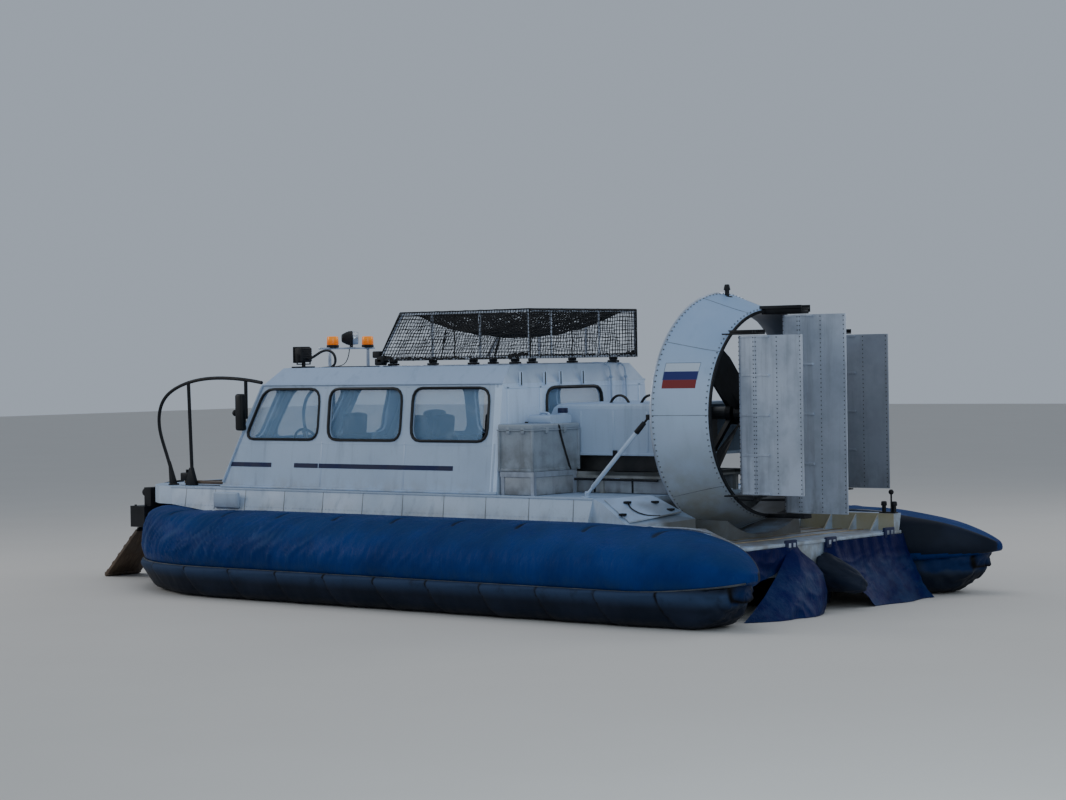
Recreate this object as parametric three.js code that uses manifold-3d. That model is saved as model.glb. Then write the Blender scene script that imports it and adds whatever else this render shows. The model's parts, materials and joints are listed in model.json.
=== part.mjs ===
// Ten-seat amphibious hovercraft with a ducted propeller, in millimetres.
// +X is the bow, +Y the port side, +Z up; z = 0 is the ground under the skirt.
// Stations are measured along X from a datum amidships and shifted once at the end.
import * as THREE from 'three';
import { mergeVertices } from 'three/addons/utils/BufferGeometryUtils.js';
import Module from 'manifold-3d';

const wasm = await Module();
wasm.setup();

// Overall
const MIDSHIP = 614.8;       // station of the middle of the overall length
const GAP = 0.5;            // between pieces that rest on each other
const RUNNING_GAP = 6;      // between a moving panel and its frame

// Hull
const KEEL_Z = 340;         // underside of the rigid hull
const CHINE_Z = 800;        // widest line, where the bag is fastened
const DECK_Z = 1045;        // side deck and foredeck
const CHINE_HALF = 1400;
const GUNWALE_HALF = 1300;
const DECK_BOW_X = 4670;
const CHINE_BOW_X = 4560;
const TRANSOM_X = -3430;
const GUNWALE_END_X = -1800;
const DECK_STEP_X = -2150;  // the deck drops to the stern well here
const WELL_Z = 640;
const WELL_HALF = 1270;
const CABIN_FLOOR_Z = 620;

// Skirt: the bow is a half ring about this station
const RING_X = 2300;
const BAG_INNER = 1405;
const BAND_Z = 300;         // blue bag above, black skirt below
const TAIL_SEAM_X = -3000;
const TAIL_TIP_X = -4160;
const TAIL_TIP_Y = 2070;
const TAIL_TIP_Z = 450;

// Cabin
const WALL = 40;
const EAVE_Z = 2110;
const ROOF_Z = 2285;
const SILL_Z = 1552;
const LINTEL_Z = 2070;
const WINDOW_PITCH = 1150;
const WINDOW_LENGTH = 1005;
const WINDOW_CORNER = 130;

// Duct, propeller and rudders
const DUCT_Z = 1800;
const DUCT_FRONT_X = -2330;
const DUCT_REAR_X = -2890;
const DUCT_FRONT_R = 1134;
const DUCT_REAR_R = 961;
const PROP_R = 900;
const PROP_X = -2620;
const BLADES = 4;
const RUDDER_HINGE_X = -3233;
const RUDDER_TRAIL_X = -3741;
const RUDDER_LEAD_X = -3050;
const RUDDER_Y = 710;

// Engine bay
const COVER_HALF = 500;
const COVER_FRONT_X = -640;
const COVER_REAR_X = -2250;
const COVER_Z = 1410;
const COVER_TOP_Z = 1910;

// Mesh tools

function bare(geometry) {
  const flat = geometry.clone();
  flat.deleteAttribute('normal');
  flat.deleteAttribute('uv');
  return mergeVertices(flat, 1e-3);
}

function volume(geometry) {
  const p = geometry.getAttribute('position');
  const index = geometry.index;
  const [a, b, c] = [new THREE.Vector3(), new THREE.Vector3(), new THREE.Vector3()];
  let sum = 0;
  for (let i = 0; i < index.count; i += 3) {
    a.fromBufferAttribute(p, index.getX(i));
    b.fromBufferAttribute(p, index.getX(i + 1));
    c.fromBufferAttribute(p, index.getX(i + 2));
    sum += a.dot(b.cross(c)) / 6;
  }
  return sum;
}

// Turns a closed mesh so that its faces point outwards.
function outward(geometry) {
  const merged = bare(geometry);
  if (volume(merged) < 0) {
    const index = merged.index;
    for (let i = 0; i < index.count; i += 3) {
      const keep = index.getX(i + 1);
      index.setX(i + 1, index.getX(i + 2));
      index.setX(i + 2, keep);
    }
  }
  return merged;
}

function toSolid(geometry) {
  const merged = outward(geometry);
  return new wasm.Manifold(new wasm.Mesh({
    numProp: 3,
    vertProperties: Float32Array.from(merged.getAttribute('position').array),
    triVerts: Uint32Array.from(merged.index.array),
  }));
}

function fromSolid(solid) {
  const mesh = solid.getMesh();
  const geometry = new THREE.BufferGeometry();
  geometry.setAttribute('position', new THREE.BufferAttribute(Float32Array.from(mesh.vertProperties), 3));
  geometry.setIndex(new THREE.BufferAttribute(Uint32Array.from(mesh.triVerts), 1));
  return geometry;
}

function join(first, ...others) {
  return fromSolid(others.reduce((solid, other) => solid.add(toSolid(other)), toSolid(first)));
}

function cut(first, ...others) {
  return fromSolid(others.reduce((solid, other) => solid.subtract(toSolid(other)), toSolid(first)));
}

function common(first, second) {
  return fromSolid(toSolid(first).intersect(toSolid(second)));
}

function mirrored(geometry) {
  return outward(geometry.clone().scale(1, -1, 1));
}

// Shape tools

function box([x0, x1], [y0, y1], [z0, z1]) {
  return new THREE.BoxGeometry(x1 - x0, y1 - y0, z1 - z0)
    .translate((x0 + x1) / 2, (y0 + y1) / 2, (z0 + z1) / 2);
}

function cylinder(radius, from, to, sides = 16, topRadius = radius) {
  const [a, b] = [new THREE.Vector3(...from), new THREE.Vector3(...to)];
  const along = b.clone().sub(a);
  const upright = new THREE.Vector3(0, 1, 0);
  const turn = new THREE.Quaternion().setFromUnitVectors(upright, along.clone().normalize());
  return new THREE.CylinderGeometry(topRadius, radius, along.length(), sides)
    .applyQuaternion(turn)
    .translate(...a.add(b).multiplyScalar(0.5).toArray());
}

const PRISM_AXES = {
  x: [[0, 1, 0], [0, 0, 1], [1, 0, 0]],
  y: [[1, 0, 0], [0, 0, 1], [0, 1, 0]],
  z: [[1, 0, 0], [0, 1, 0], [0, 0, 1]],
};

// Extrudes an outline, whose points lie in the plane across the axis, from low to high.
function prism(outline, axis, low, high) {
  const isShape = outline instanceof THREE.Shape;
  const shape = isShape ? outline : new THREE.Shape(outline.map((p) => new THREE.Vector2(...p)));
  const [u, v, w] = PRISM_AXES[axis].map((a) => new THREE.Vector3(...a));
  return new THREE.ExtrudeGeometry(shape, { depth: high - low, bevelEnabled: false, curveSegments: 4 })
    .translate(0, 0, low)
    .applyMatrix4(new THREE.Matrix4().makeBasis(u, v, w));
}

// A polygon whose corners are rounded by curves that start a radius away from each.
function rounded(points, radius) {
  const shape = new THREE.Shape();
  const corners = points.map((p) => new THREE.Vector2(...p));
  corners.forEach((corner, i) => {
    const before = corners[(i + corners.length - 1) % corners.length];
    const after = corners[(i + 1) % corners.length];
    const start = corner.clone().lerp(before, Math.min(0.5, radius / corner.distanceTo(before)));
    const end = corner.clone().lerp(after, Math.min(0.5, radius / corner.distanceTo(after)));
    if (i === 0) {
      shape.moveTo(start.x, start.y);
    } else {
      shape.lineTo(start.x, start.y);
    }
    shape.quadraticCurveTo(corner.x, corner.y, end.x, end.y);
  });
  shape.closePath();
  return shape;
}

// Skins a row of rings with the same number of points, and closes both ends.
function loft(rings) {
  const count = rings[0].length;
  const positions = rings.flat(2);
  const index = [];
  for (let r = 0; r + 1 < rings.length; r += 1) {
    for (let i = 0; i < count; i += 1) {
      const j = (i + 1) % count;
      const [a, b, c, d] = [r * count + i, r * count + j, (r + 1) * count + j, (r + 1) * count + i];
      index.push(a, b, c, a, c, d);
    }
  }
  const last = (rings.length - 1) * count;
  for (let i = 1; i + 1 < count; i += 1) {
    index.push(0, i + 1, i, last, last + i, last + i + 1);
  }
  const geometry = new THREE.BufferGeometry();
  geometry.setAttribute('position', new THREE.Float32BufferAttribute(positions, 3));
  geometry.setIndex(index);
  return outward(geometry);
}

// A round bar along a smooth path.
function bar(points, radius, steps, sides = 8) {
  const path = new THREE.CatmullRomCurve3(points.map((p) => new THREE.Vector3(...p)), false, 'centripetal');
  const section = new THREE.Shape();
  for (let i = 0; i < sides; i += 1) {
    const angle = (2 * Math.PI * i) / sides;
    const [x, y] = [radius * Math.cos(angle), radius * Math.sin(angle)];
    if (i === 0) {
      section.moveTo(x, y);
    } else {
      section.lineTo(x, y);
    }
  }
  section.closePath();
  return new THREE.ExtrudeGeometry(section, { steps, extrudePath: path, bevelEnabled: false });
}

// Finishes
const FINISHES = {
  hull_paint: { color: 0xc6c9c8, roughness: 0.5, metalness: 0.2 },
  cabin_paint: { color: 0xcfd4d6, roughness: 0.45, metalness: 0.2 },
  bare_aluminium: { color: 0xa9afb5, roughness: 0.45, metalness: 0.7 },
  bag_blue: { color: 0x14386f, roughness: 0.55, metalness: 0 },
  skirt_black: { color: 0x17191c, roughness: 0.7, metalness: 0 },
  black_paint: { color: 0x141517, roughness: 0.5, metalness: 0.2 },
  glass: { color: 0x5c7488, roughness: 0.08, metalness: 0 },
  interior: { color: 0x4a4e52, roughness: 0.8, metalness: 0 },
  machinery: { color: 0x33373a, roughness: 0.6, metalness: 0.5 },
  plank: { color: 0x5a4330, roughness: 0.85, metalness: 0 },
  net: { color: 0x1b1b1c, roughness: 0.9, metalness: 0 },
};

const craft = new THREE.Group();

function add(name, geometry, finish) {
  const mesh = new THREE.Mesh(outward(geometry), new THREE.MeshStandardMaterial(FINISHES[finish]));
  mesh.name = name;
  mesh.position.x = -MIDSHIP;
  craft.add(mesh);
}

// The same piece on both sides: the geometry is given for port.
function addPair(name, geometry, finish) {
  add(`${name}_port`, geometry, finish);
  add(`${name}_starboard`, mirrored(geometry), finish);
}

// Hull

// Plan of the hull with a round bow about RING_X, square at the transom.
function pontoonRing(half, z) {
  const ring = [[TRANSOM_X, -half, z]];
  for (let i = 0; i <= 16; i += 1) {
    const angle = -Math.PI / 2 + (Math.PI * i) / 16;
    ring.push([RING_X + half * Math.cos(angle), half * Math.sin(angle), z]);
  }
  ring.push([TRANSOM_X, half, z]);
  return ring;
}

// Plan of the decked band with round corners at a square bow.
function deckRing(half, bow, corner, aft, z) {
  const port = [];
  for (let i = 0; i <= 4; i += 1) {
    const angle = (Math.PI / 2) * (i / 4);
    port.push([bow - corner + corner * Math.cos(angle), half - corner + corner * Math.sin(angle), z]);
  }
  port.push([aft, half, z]);
  const starboard = port.map(([x, y]) => [x, -y, z]).reverse();
  return [...starboard, ...port];
}

const DECK_CORNER = 700;
const pontoon = loft([pontoonRing(1300, KEEL_Z), pontoonRing(CHINE_HALF, CHINE_Z)]);
const fullBand = loft([
  deckRing(CHINE_HALF, CHINE_BOW_X, DECK_CORNER, GUNWALE_END_X, CHINE_Z - 12),
  deckRing(GUNWALE_HALF, DECK_BOW_X, DECK_CORNER, GUNWALE_END_X, DECK_Z),
]);
// The band's lower edge rises towards the bow to make room for the bag.
const BAND_RISE_X = [3100, 3900];
const BAND_RISE_Z = [CHINE_Z - 20, CHINE_Z + 60];
const risenEdge = cut(
  prism([
    [BAND_RISE_X[0], BAND_RISE_Z[0]], [5000, BAND_RISE_Z[0]],
    [5000, BAND_RISE_Z[1]], [BAND_RISE_X[1], BAND_RISE_Z[1]],
  ], 'y', -2000, 2000),
  loft([pontoonRing(CHINE_HALF - 5, CHINE_Z - 30), pontoonRing(CHINE_HALF - 5, CHINE_Z + 90)]),
);
const deckBand = cut(fullBand, risenEdge);
const midDeck = box([DECK_STEP_X, GUNWALE_END_X + 10], [-820, 820], [WELL_Z - 50, DECK_Z]);
const sternWell = box([TRANSOM_X - 10, DECK_STEP_X], [-WELL_HALF, WELL_HALF], [WELL_Z, CHINE_Z + 10]);
// The port coaming beside the well slopes down to the transom.
const COAMING_SLOPE_X = -3050;
const COAMING_END_Z = 655;
const coamingSlope = prism([
  [COAMING_SLOPE_X, CHINE_Z + 1], [TRANSOM_X - 10, COAMING_END_Z], [TRANSOM_X - 10, CHINE_Z + 1],
], 'y', 0, 1500);
// Shoulders: the deck falls outboard and aft from the gunwale's end.
const shoulder = loft([
  [[-1790, 1300, 1044], [-1790, 800, 1044], [-1790, 800, 560], [-1790, 1350, 560]],
  [[-1900, 1318, 1010], [-2140, 800, 1044], [-2140, 800, 560], [-1900, 1350, 560]],
  [[-2300, 1395, 790], [-2600, 800, 850], [-2600, 800, 560], [-2300, 1350, 560]],
]);
// Gussets inside the stern coamings
function gusset(x, top) {
  return prism([
    [WELL_HALF + 10, WELL_Z - 10], [1120, WELL_Z - 10], [WELL_HALF, top - 10], [WELL_HALF + 10, top - 10],
  ], 'x', x - 6, x + 6);
}
function portCoamingTop(x) {
  return Math.min(CHINE_Z, THREE.MathUtils.mapLinear(x, TRANSOM_X, COAMING_SLOPE_X, COAMING_END_Z, CHINE_Z));
}
const GUSSETS = [-2720, -3000, -3250];
const gussets = GUSSETS.flatMap((x) => [gusset(x, portCoamingTop(x)), mirrored(gusset(x, CHINE_Z))]);
const cradle = cut(
  prism([[-620, WELL_Z - 20], [620, WELL_Z - 20], [560, 900], [-560, 900]], 'x', -2800, -2420),
  new THREE.CylinderGeometry(DUCT_FRONT_R + 3, DUCT_FRONT_R + 3, 2000, 64)
    .rotateZ(Math.PI / 2)
    .translate(-2600, 0, DUCT_Z),
);
const cabinWell = box([-450, 3100], [-1090, 1090], [CABIN_FLOOR_Z, DECK_Z + 10]);
const hull = cut(
  join(
    cut(pontoon, sternWell, coamingSlope), deckBand, midDeck, shoulder, mirrored(shoulder), cradle, ...gussets,
  ),
  cabinWell,
);
add('hull', hull, 'hull_paint');

// Skirt

// Columns: distance from the centre plane and height along the side, then round the bow.
const BAG_SECTION = [
  [BAG_INNER, BAND_Z, BAG_INNER, BAND_Z],
  [2335, BAND_Z, 2384, BAND_Z],
  [2365, 420, 2395, 440],
  [2330, 565, 2386, 610],
  [2220, 705, 2338, 770],
  [2050, 800, 2230, 838],
  [1850, 843, 1990, 834],
  [1620, 836, 1760, 785],
  [BAG_INNER, 775, BAG_INNER, 775],
];
const SKIRT_TOP_Z = BAND_Z - 5;
const SKIRT_SECTION = [
  [1425, SKIRT_TOP_Z, 1425, SKIRT_TOP_Z],
  [1450, 60, 1450, 60],
  [1560, 0, 1560, 0],
  [2240, 0, 2275, 0],
  [2290, 70, 2338, 80],
  [2325, 170, 2368, 180],
  [2335, SKIRT_TOP_Z, 2382, SKIRT_TOP_Z],
];

// A half ring about the bow, in which the side's section turns into the bow's.
const BLEND_ANGLE = Math.PI / 6;
function bowRing(section) {
  const rings = [];
  for (let i = 0; i <= 18; i += 1) {
    const angle = (Math.PI * i) / 18;
    const share = Math.min(1, Math.min(angle, Math.PI - angle) / BLEND_ANGLE);
    rings.push(section.map(([sideY, sideZ, bowR, bowZ]) => {
      const r = THREE.MathUtils.lerp(sideY, bowR, share);
      return [RING_X + r * Math.sin(angle), r * Math.cos(angle), THREE.MathUtils.lerp(sideZ, bowZ, share)];
    }));
  }
  return loft(rings);
}
add('bow_bag', bowRing(BAG_SECTION), 'bag_blue');
add('bow_skirt', bowRing(SKIRT_SECTION), 'skirt_black');

// Shrinks a section towards a point, by a share of 0 to 1.
function shrunk(section, x, [y, z], share) {
  return section.map((point) => [
    x,
    THREE.MathUtils.lerp(point[0], y, share),
    THREE.MathUtils.lerp(point[1], z, share),
  ]);
}
const TIP = [TAIL_TIP_Y, TAIL_TIP_Z];
// Columns: station, share by which the bag has shrunk to its tip, lift of the skirt's foot.
const TAIL_ROWS = [
  [RING_X - GAP, 0, 0],
  [TAIL_SEAM_X, 0, 0],
  [-3300, 0.1, 0],
  [-3600, 0.3, 0],
  [-3800, 0.47, 20],
  [-3980, 0.67, 180],
];
addPair('side_bag', loft([
  ...TAIL_ROWS.map(([x, share]) => shrunk(BAG_SECTION, x, TIP, share)),
  shrunk(BAG_SECTION, TAIL_TIP_X, TIP, 0.88),
]), 'bag_blue');
addPair('side_skirt', loft(TAIL_ROWS.map(([x, share, lift]) => {
  const top = THREE.MathUtils.lerp(SKIRT_TOP_Z, TAIL_TIP_Z - 5, share);
  return SKIRT_SECTION.map(([y, z]) => [
    x, THREE.MathUtils.lerp(y, TAIL_TIP_Y, share), THREE.MathUtils.mapLinear(z, 0, SKIRT_TOP_Z, lift, top),
  ]);
})), 'skirt_black');

// Keel bag under the hull, and the cone in which it ends behind the transom
const KEEL_SECTION = [[-180, KEEL_Z - 5], [-200, 120], [-130, 0], [130, 0], [200, 120], [180, KEEL_Z - 5]];
const keelTube = loft([
  shrunk(KEEL_SECTION, 3000, [0, 300], 0.5),
  shrunk(KEEL_SECTION, 2500, [0, 0], 0),
  shrunk(KEEL_SECTION, TRANSOM_X - 20, [0, 0], 0),
]);

function coneRing(x, z, radius) {
  return Array.from({ length: 12 }, (_, i) => {
    const angle = (2 * Math.PI * i) / 12;
    return [x, radius * Math.cos(angle), z + radius * Math.sin(angle)];
  });
}
const keelCone = loft([
  coneRing(TRANSOM_X - GAP, 357, 180),
  coneRing(-3650, 300, 135),
  coneRing(-3900, 235, 70),
]);
add('keel_bag', join(keelTube, keelCone), 'skirt_black');

// Stern curtains hang behind the transom: one to the ground on the starboard side, a short one to port.
const CURTAIN_X = TRANSOM_X - GAP;
const CURTAIN_OUTLINE = [[0, 600], [0, 0], [-310, 0], [-285, 110], [-210, 260], [-80, 440], [-15, 545]];
const curtainFall = CURTAIN_OUTLINE.map(([x, z]) => [CURTAIN_X + x, z]);
add('stern_curtain_starboard', prism(curtainFall, 'y', -1370, -290), 'bag_blue');
add('stern_curtain_port', box([TRANSOM_X - 50, CURTAIN_X], [1000, 1395], [290, 600]), 'bag_blue');

// The finger between them widens downwards like a bell.
// Columns: height, port edge y, port edge x, middle x, starboard edge y, starboard edge x.
const FINGER_ROWS = [
  [545, 575, -3455, -3475, 375, -3455],
  [455, 725, -3500, -3560, 370, -3520],
  [353, 890, -3545, -3650, 368, -3610],
  [200, 1130, -3585, -3740, 400, -3690],
  [0, 1475, -3605, -3825, 430, -3740],
];
add('stern_finger', loft(FINGER_ROWS.map(([z, portY, portX, middleX, starboardY, starboardX]) => [
  [CURTAIN_X, portY, z],
  [portX, portY, z],
  [middleX, THREE.MathUtils.lerp(starboardY, portY, 0.35), z],
  [starboardX, starboardY, z],
  [CURTAIN_X, starboardY, z],
])), 'bag_blue');

// Cabin

// Columns: height, aft wall, door post, corner x, corner y, nose, half width.
const CABIN_ROWS = [
  [DECK_Z, -560, 3270, 3620, 800, 3750, 1235],
  [EAVE_Z, -560, 2735, 2960, 720, 3020, 1115],
  [ROOF_Z, -500, 2600, 2820, 600, 2870, 942],
];

// The whole cabin as one solid, its walls moved in by the inset; inner ones reach below the deck.
function cabinSolid(inset) {
  const foot = inset > 0 ? DECK_Z - 10 : DECK_Z + GAP;
  const rings = CABIN_ROWS.map(([z, aft, post, cornerX, cornerY, nose, half], row) => {
    const outline = [
      [nose - inset * 1.1, 0],
      [cornerX - inset, cornerY - inset * 0.5],
      [post - inset * 0.5, half - inset],
      [aft + inset, half - inset],
      [aft + inset, 0],
    ];
    const height = [foot, z, z - inset][row];
    return outline.map(([x, y]) => [x, y, height]);
  });
  const port = loft(rings);
  return join(port, mirrored(port));
}

// The raked line of the windscreen posts, and what lies ahead of it
function postX(z) {
  return 3270 - ((z - DECK_Z) * (3270 - 2735)) / (EAVE_Z - DECK_Z);
}
const SPAN = 3000;
const AHEAD = prism([[postX(0), 0], [postX(SPAN), SPAN], [5000, SPAN], [5000, 0]], 'y', -SPAN, SPAN);
const ahead = (shift) => AHEAD.clone().translate(shift, 0, 0);
const AFT_SEAM_X = -470;
const aftZone = box([-1000, AFT_SEAM_X], [-SPAN, SPAN], [0, EAVE_Z]);
const roofZone = box([-1000, 5000], [-SPAN, SPAN], [EAVE_Z, SPAN]);
const portZone = box([-1000, 5000], [0, SPAN], [0, EAVE_Z - GAP]);

const shell = cut(cabinSolid(0), cabinSolid(WALL));

function windowHole(x0, x1, frontRake) {
  const outline = [[x0, SILL_Z], [x1 + frontRake, SILL_Z], [x1, LINTEL_Z], [x0, LINTEL_Z]];
  return prism(rounded(outline, WINDOW_CORNER), 'y', 800, 1400);
}
const FRONT_WINDOW_AFT_X = 1894;
const FRONT_WINDOW_TOP_X = 2700;
const FRONT_WINDOW_RAKE = 255;
const sideHoles = [windowHole(FRONT_WINDOW_AFT_X, FRONT_WINDOW_TOP_X, FRONT_WINDOW_RAKE)];
for (let row = 1; row <= 2; row += 1) {
  const aft = FRONT_WINDOW_AFT_X - row * WINDOW_PITCH;
  sideHoles.push(windowHole(aft, aft + WINDOW_LENGTH, 0));
}
const sidePart = common(shell, portZone);
const sideWall = cut(sidePart, aftZone.clone().translate(GAP, 0, 0), ahead(-GAP), ...sideHoles);
addPair('cabin_side', sideWall, 'cabin_paint');

const glassShell = cut(cabinSolid(WALL + GAP), cabinSolid(WALL + 6));
const glassBand = box([-300, 5000], [-SPAN, SPAN], [SILL_Z - 30, EAVE_Z - 45]);
const sideGlass = cut(common(common(glassShell, glassBand), portZone), ahead(-60));
addPair('side_glass', sideGlass, 'glass');

const roof = cut(common(shell, roofZone), ahead(-GAP));
add('cabin_roof', roof, 'cabin_paint');

const AFT_WINDOW_SILL_Z = 1640;
const aftWindow = prism(rounded([
  [-410, AFT_WINDOW_SILL_Z], [460, AFT_WINDOW_SILL_Z], [460, 2060], [-410, 2060],
], WINDOW_CORNER), 'x', -1000, 0);
const aftWall = cut(common(shell, aftZone.clone().translate(-GAP, 0, -GAP)), aftWindow);
add('cabin_aft_wall', aftWall, 'cabin_paint');
const aftPane = common(
  cut(cabinSolid(WALL + GAP), cabinSolid(WALL + 6)),
  box([-1000, -300], [-540, 590], [AFT_WINDOW_SILL_Z - 40, EAVE_Z - 45]),
);
add('aft_glass', aftPane, 'glass');

// Front frame, with a raised hatch in its middle that serves as the entrance
const HATCH_HALF = 520;
const HATCH_FOOT_Z = 1110;
const frontWall = common(shell, AHEAD);
const hatchHole = box([2500, 4000], [-HATCH_HALF, HATCH_HALF], [HATCH_FOOT_Z, EAVE_Z + 60]);
const hatchBody = box(
  [2500, 4000],
  [-HATCH_HALF + RUNNING_GAP, HATCH_HALF - RUNNING_GAP],
  [HATCH_FOOT_Z + RUNNING_GAP, EAVE_Z + 60 - RUNNING_GAP],
);
const hatchWindow = prism(
  rounded([[-400, SILL_Z], [400, SILL_Z], [400, LINTEL_Z], [-400, LINTEL_Z]], WINDOW_CORNER), 'x', 2500, 4000,
);
const cornerWindow = prism(
  rounded([[610, SILL_Z], [1060, SILL_Z], [940, LINTEL_Z], [610, LINTEL_Z]], 90), 'x', 2500, 4000,
);
add('cabin_front', cut(frontWall, hatchHole, cornerWindow, mirrored(cornerWindow)), 'cabin_paint');
add('bow_hatch', cut(common(frontWall, hatchBody), hatchWindow), 'cabin_paint');
const PANE_Z = [SILL_Z - 30, EAVE_Z - 45];
const frontPane = common(common(glassShell, box([2500, 5000], [-SPAN, SPAN], PANE_Z)), AHEAD);
add('hatch_glass', common(frontPane, box([2500, 5000], [-440, 440], [SILL_Z - 30, EAVE_Z - 45])), 'glass');
addPair('corner_glass', common(frontPane, box([2500, 5000], [560, 1080], PANE_Z)), 'glass');

// Cabin fittings

// A seat: cushion on a plinth, with a raked back that ends in a head rest.
function seat(x, y, width, top) {
  const profile = [
    [x - 80, CABIN_FLOOR_Z + GAP], [x + 400, CABIN_FLOOR_Z + GAP], [x + 480, 1020], [x + 460, 1090],
    [x + 60, 1060], [x - 90, top], [x - 190, top], [x - 60, 1000],
  ];
  return prism(rounded(profile, 30), 'y', y - width / 2, y + width / 2);
}
// Columns: name, station, width, top.
const SEATS = [
  ['front_seat', 2050, 460, 1800],
  ['middle_seat', 1000, 820, 1780],
];
for (const [name, x, width, top] of SEATS) {
  addPair(name, seat(x, 610, width, top), 'interior');
}
add('rear_bench', seat(-120, 0, 2040, 1740), 'interior');
const dashOutline = [
  [2780, CABIN_FLOOR_Z + GAP], [3050, CABIN_FLOOR_Z + GAP], [3060, 1330], [2860, 1420], [2740, 1330],
];
add('dashboard', join(
  prism(dashOutline, 'y', -1040, -560),
  prism(dashOutline, 'y', 560, 1040),
  box([3000, 3050], [-600, 600], [CABIN_FLOOR_Z + GAP, 900]),
), 'interior');
const WHEEL_AXIS = new THREE.Vector3(-0.906, 0, 0.423);
const WHEEL_CENTRE = new THREE.Vector3(2600, 610, 1480);
const wheelRim = new THREE.TorusGeometry(175, 14, 8, 24);
const wheelBar = new THREE.BoxGeometry(340, 24, 18);
const wheelPost = new THREE.BoxGeometry(24, 340, 18);
const wheelBoss = new THREE.CylinderGeometry(40, 40, 110, 12).rotateX(Math.PI / 2).translate(0, 0, -40);
const wheelTurn = new THREE.Quaternion().setFromUnitVectors(new THREE.Vector3(0, 0, 1), WHEEL_AXIS);
const steeringWheel = join(wheelRim, wheelBar, wheelPost, wheelBoss)
  .applyQuaternion(wheelTurn)
  .translate(...WHEEL_CENTRE.toArray());
add('steering_wheel', steeringWheel, 'black_paint');

// Mirrors on the windscreen posts
const mirrorOutline = rounded([[1165, 1650], [1225, 1650], [1225, 2010], [1165, 2010]], 25);
const mirrorHead = prism(mirrorOutline, 'x', 2990, 3045);
const mirrorArm = box([2960, 3030], [1150, 1190], [1790, 1815]);
addPair('mirror', join(mirrorHead, mirrorArm), 'black_paint');

// Bow rails, planks, platform and ramp
const RAIL_Y = 1100;
const RAIL_R = 18;
const railLoop = [
  [4160, 1100], [4250, 1350], [4385, 1620], [4385, 1850], [4260, 2035],
  [3900, 2164], [3440, 2208], [2985, 2174],
  [2770, 2138],
];
const rail = join(
  bar([[4160, RAIL_Y, 1060], ...railLoop.map(([x, z]) => [x, RAIL_Y, z])], RAIL_R, 22),
  cylinder(RAIL_R, [3865, RAIL_Y, 1100], [3900, RAIL_Y, 2164], 8),
  cylinder(RAIL_R, [3015, RAIL_Y, 1760], [3015, RAIL_Y, 2176], 8),
  cylinder(60, [4160, RAIL_Y, DECK_Z + GAP], [4160, RAIL_Y, 1075], 8),
  prism(
    [[3790, DECK_Z + GAP], [3960, DECK_Z + GAP], [3885, 1230], [3850, 1230]], 'y', RAIL_Y - 20, RAIL_Y + 20,
  ),
);
addPair('bow_rail', rail, 'black_paint');

const PLATFORM_Y = [450, 1080];
add('bow_platform', join(
  box([4670, 4900], PLATFORM_Y, [570, 800]),
  box([4674, 4780], [560, 980], [780, 1000]),
  cylinder(55, [4830, 700, 790], [4830, 700, 880], 12),
  new THREE.SphereGeometry(48, 12, 8).translate(4800, 930, 945),
), 'black_paint');

const RAMP_HINGE = [4840, 530];
const RAMP_FOOT_X = 5390;
const RAMP_Y = [560, 1050];
const rampLength = Math.hypot(RAMP_FOOT_X - RAMP_HINGE[0], RAMP_HINGE[1]);
const rampFall = Math.atan2(RAMP_HINGE[1], RAMP_FOOT_X - RAMP_HINGE[0]);
const RAMP_THICK = 30;
const rampBoards = [box([0, rampLength - RAMP_THICK / 2], RAMP_Y, [-RAMP_THICK / 2, RAMP_THICK / 2])];
for (let i = 1; i <= 5; i += 1) {
  const at = (rampLength * i) / 5.6;
  rampBoards.push(box([at, at + 40], [RAMP_Y[0] + 20, RAMP_Y[1] - 20], [0, RAMP_THICK / 2 + 22]));
}
const ramp = join(...rampBoards)
  .rotateY(rampFall)
  .translate(RAMP_HINGE[0], 0, RAMP_HINGE[1]);
add('boarding_ramp', cut(ramp, box([4000, 6000], [-SPAN, SPAN], [-500, 0])), 'plank');

// Roof: cargo rack with its net, lamps and beacons
const RACK_HALF = 830;
const RACK_AFT_X = -665;
const RACK_FRONT_X = 1310;
const RACK_TOP_FRONT_X = 1000;
const RACK_FLOOR_Z = 2360;
const RACK_TOP_Z = 2812;
const RACK_TUBE = 12;
const RACK_POSTS = [-30, 600];
const RACK_AFT_POSTS = [-250, 500];
const RACK_FEET = [-430, 110, 650, 1190];
function rackFrontX(z) {
  return THREE.MathUtils.mapLinear(z, RACK_FLOOR_Z, RACK_TOP_Z, RACK_FRONT_X, RACK_TOP_FRONT_X);
}
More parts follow.
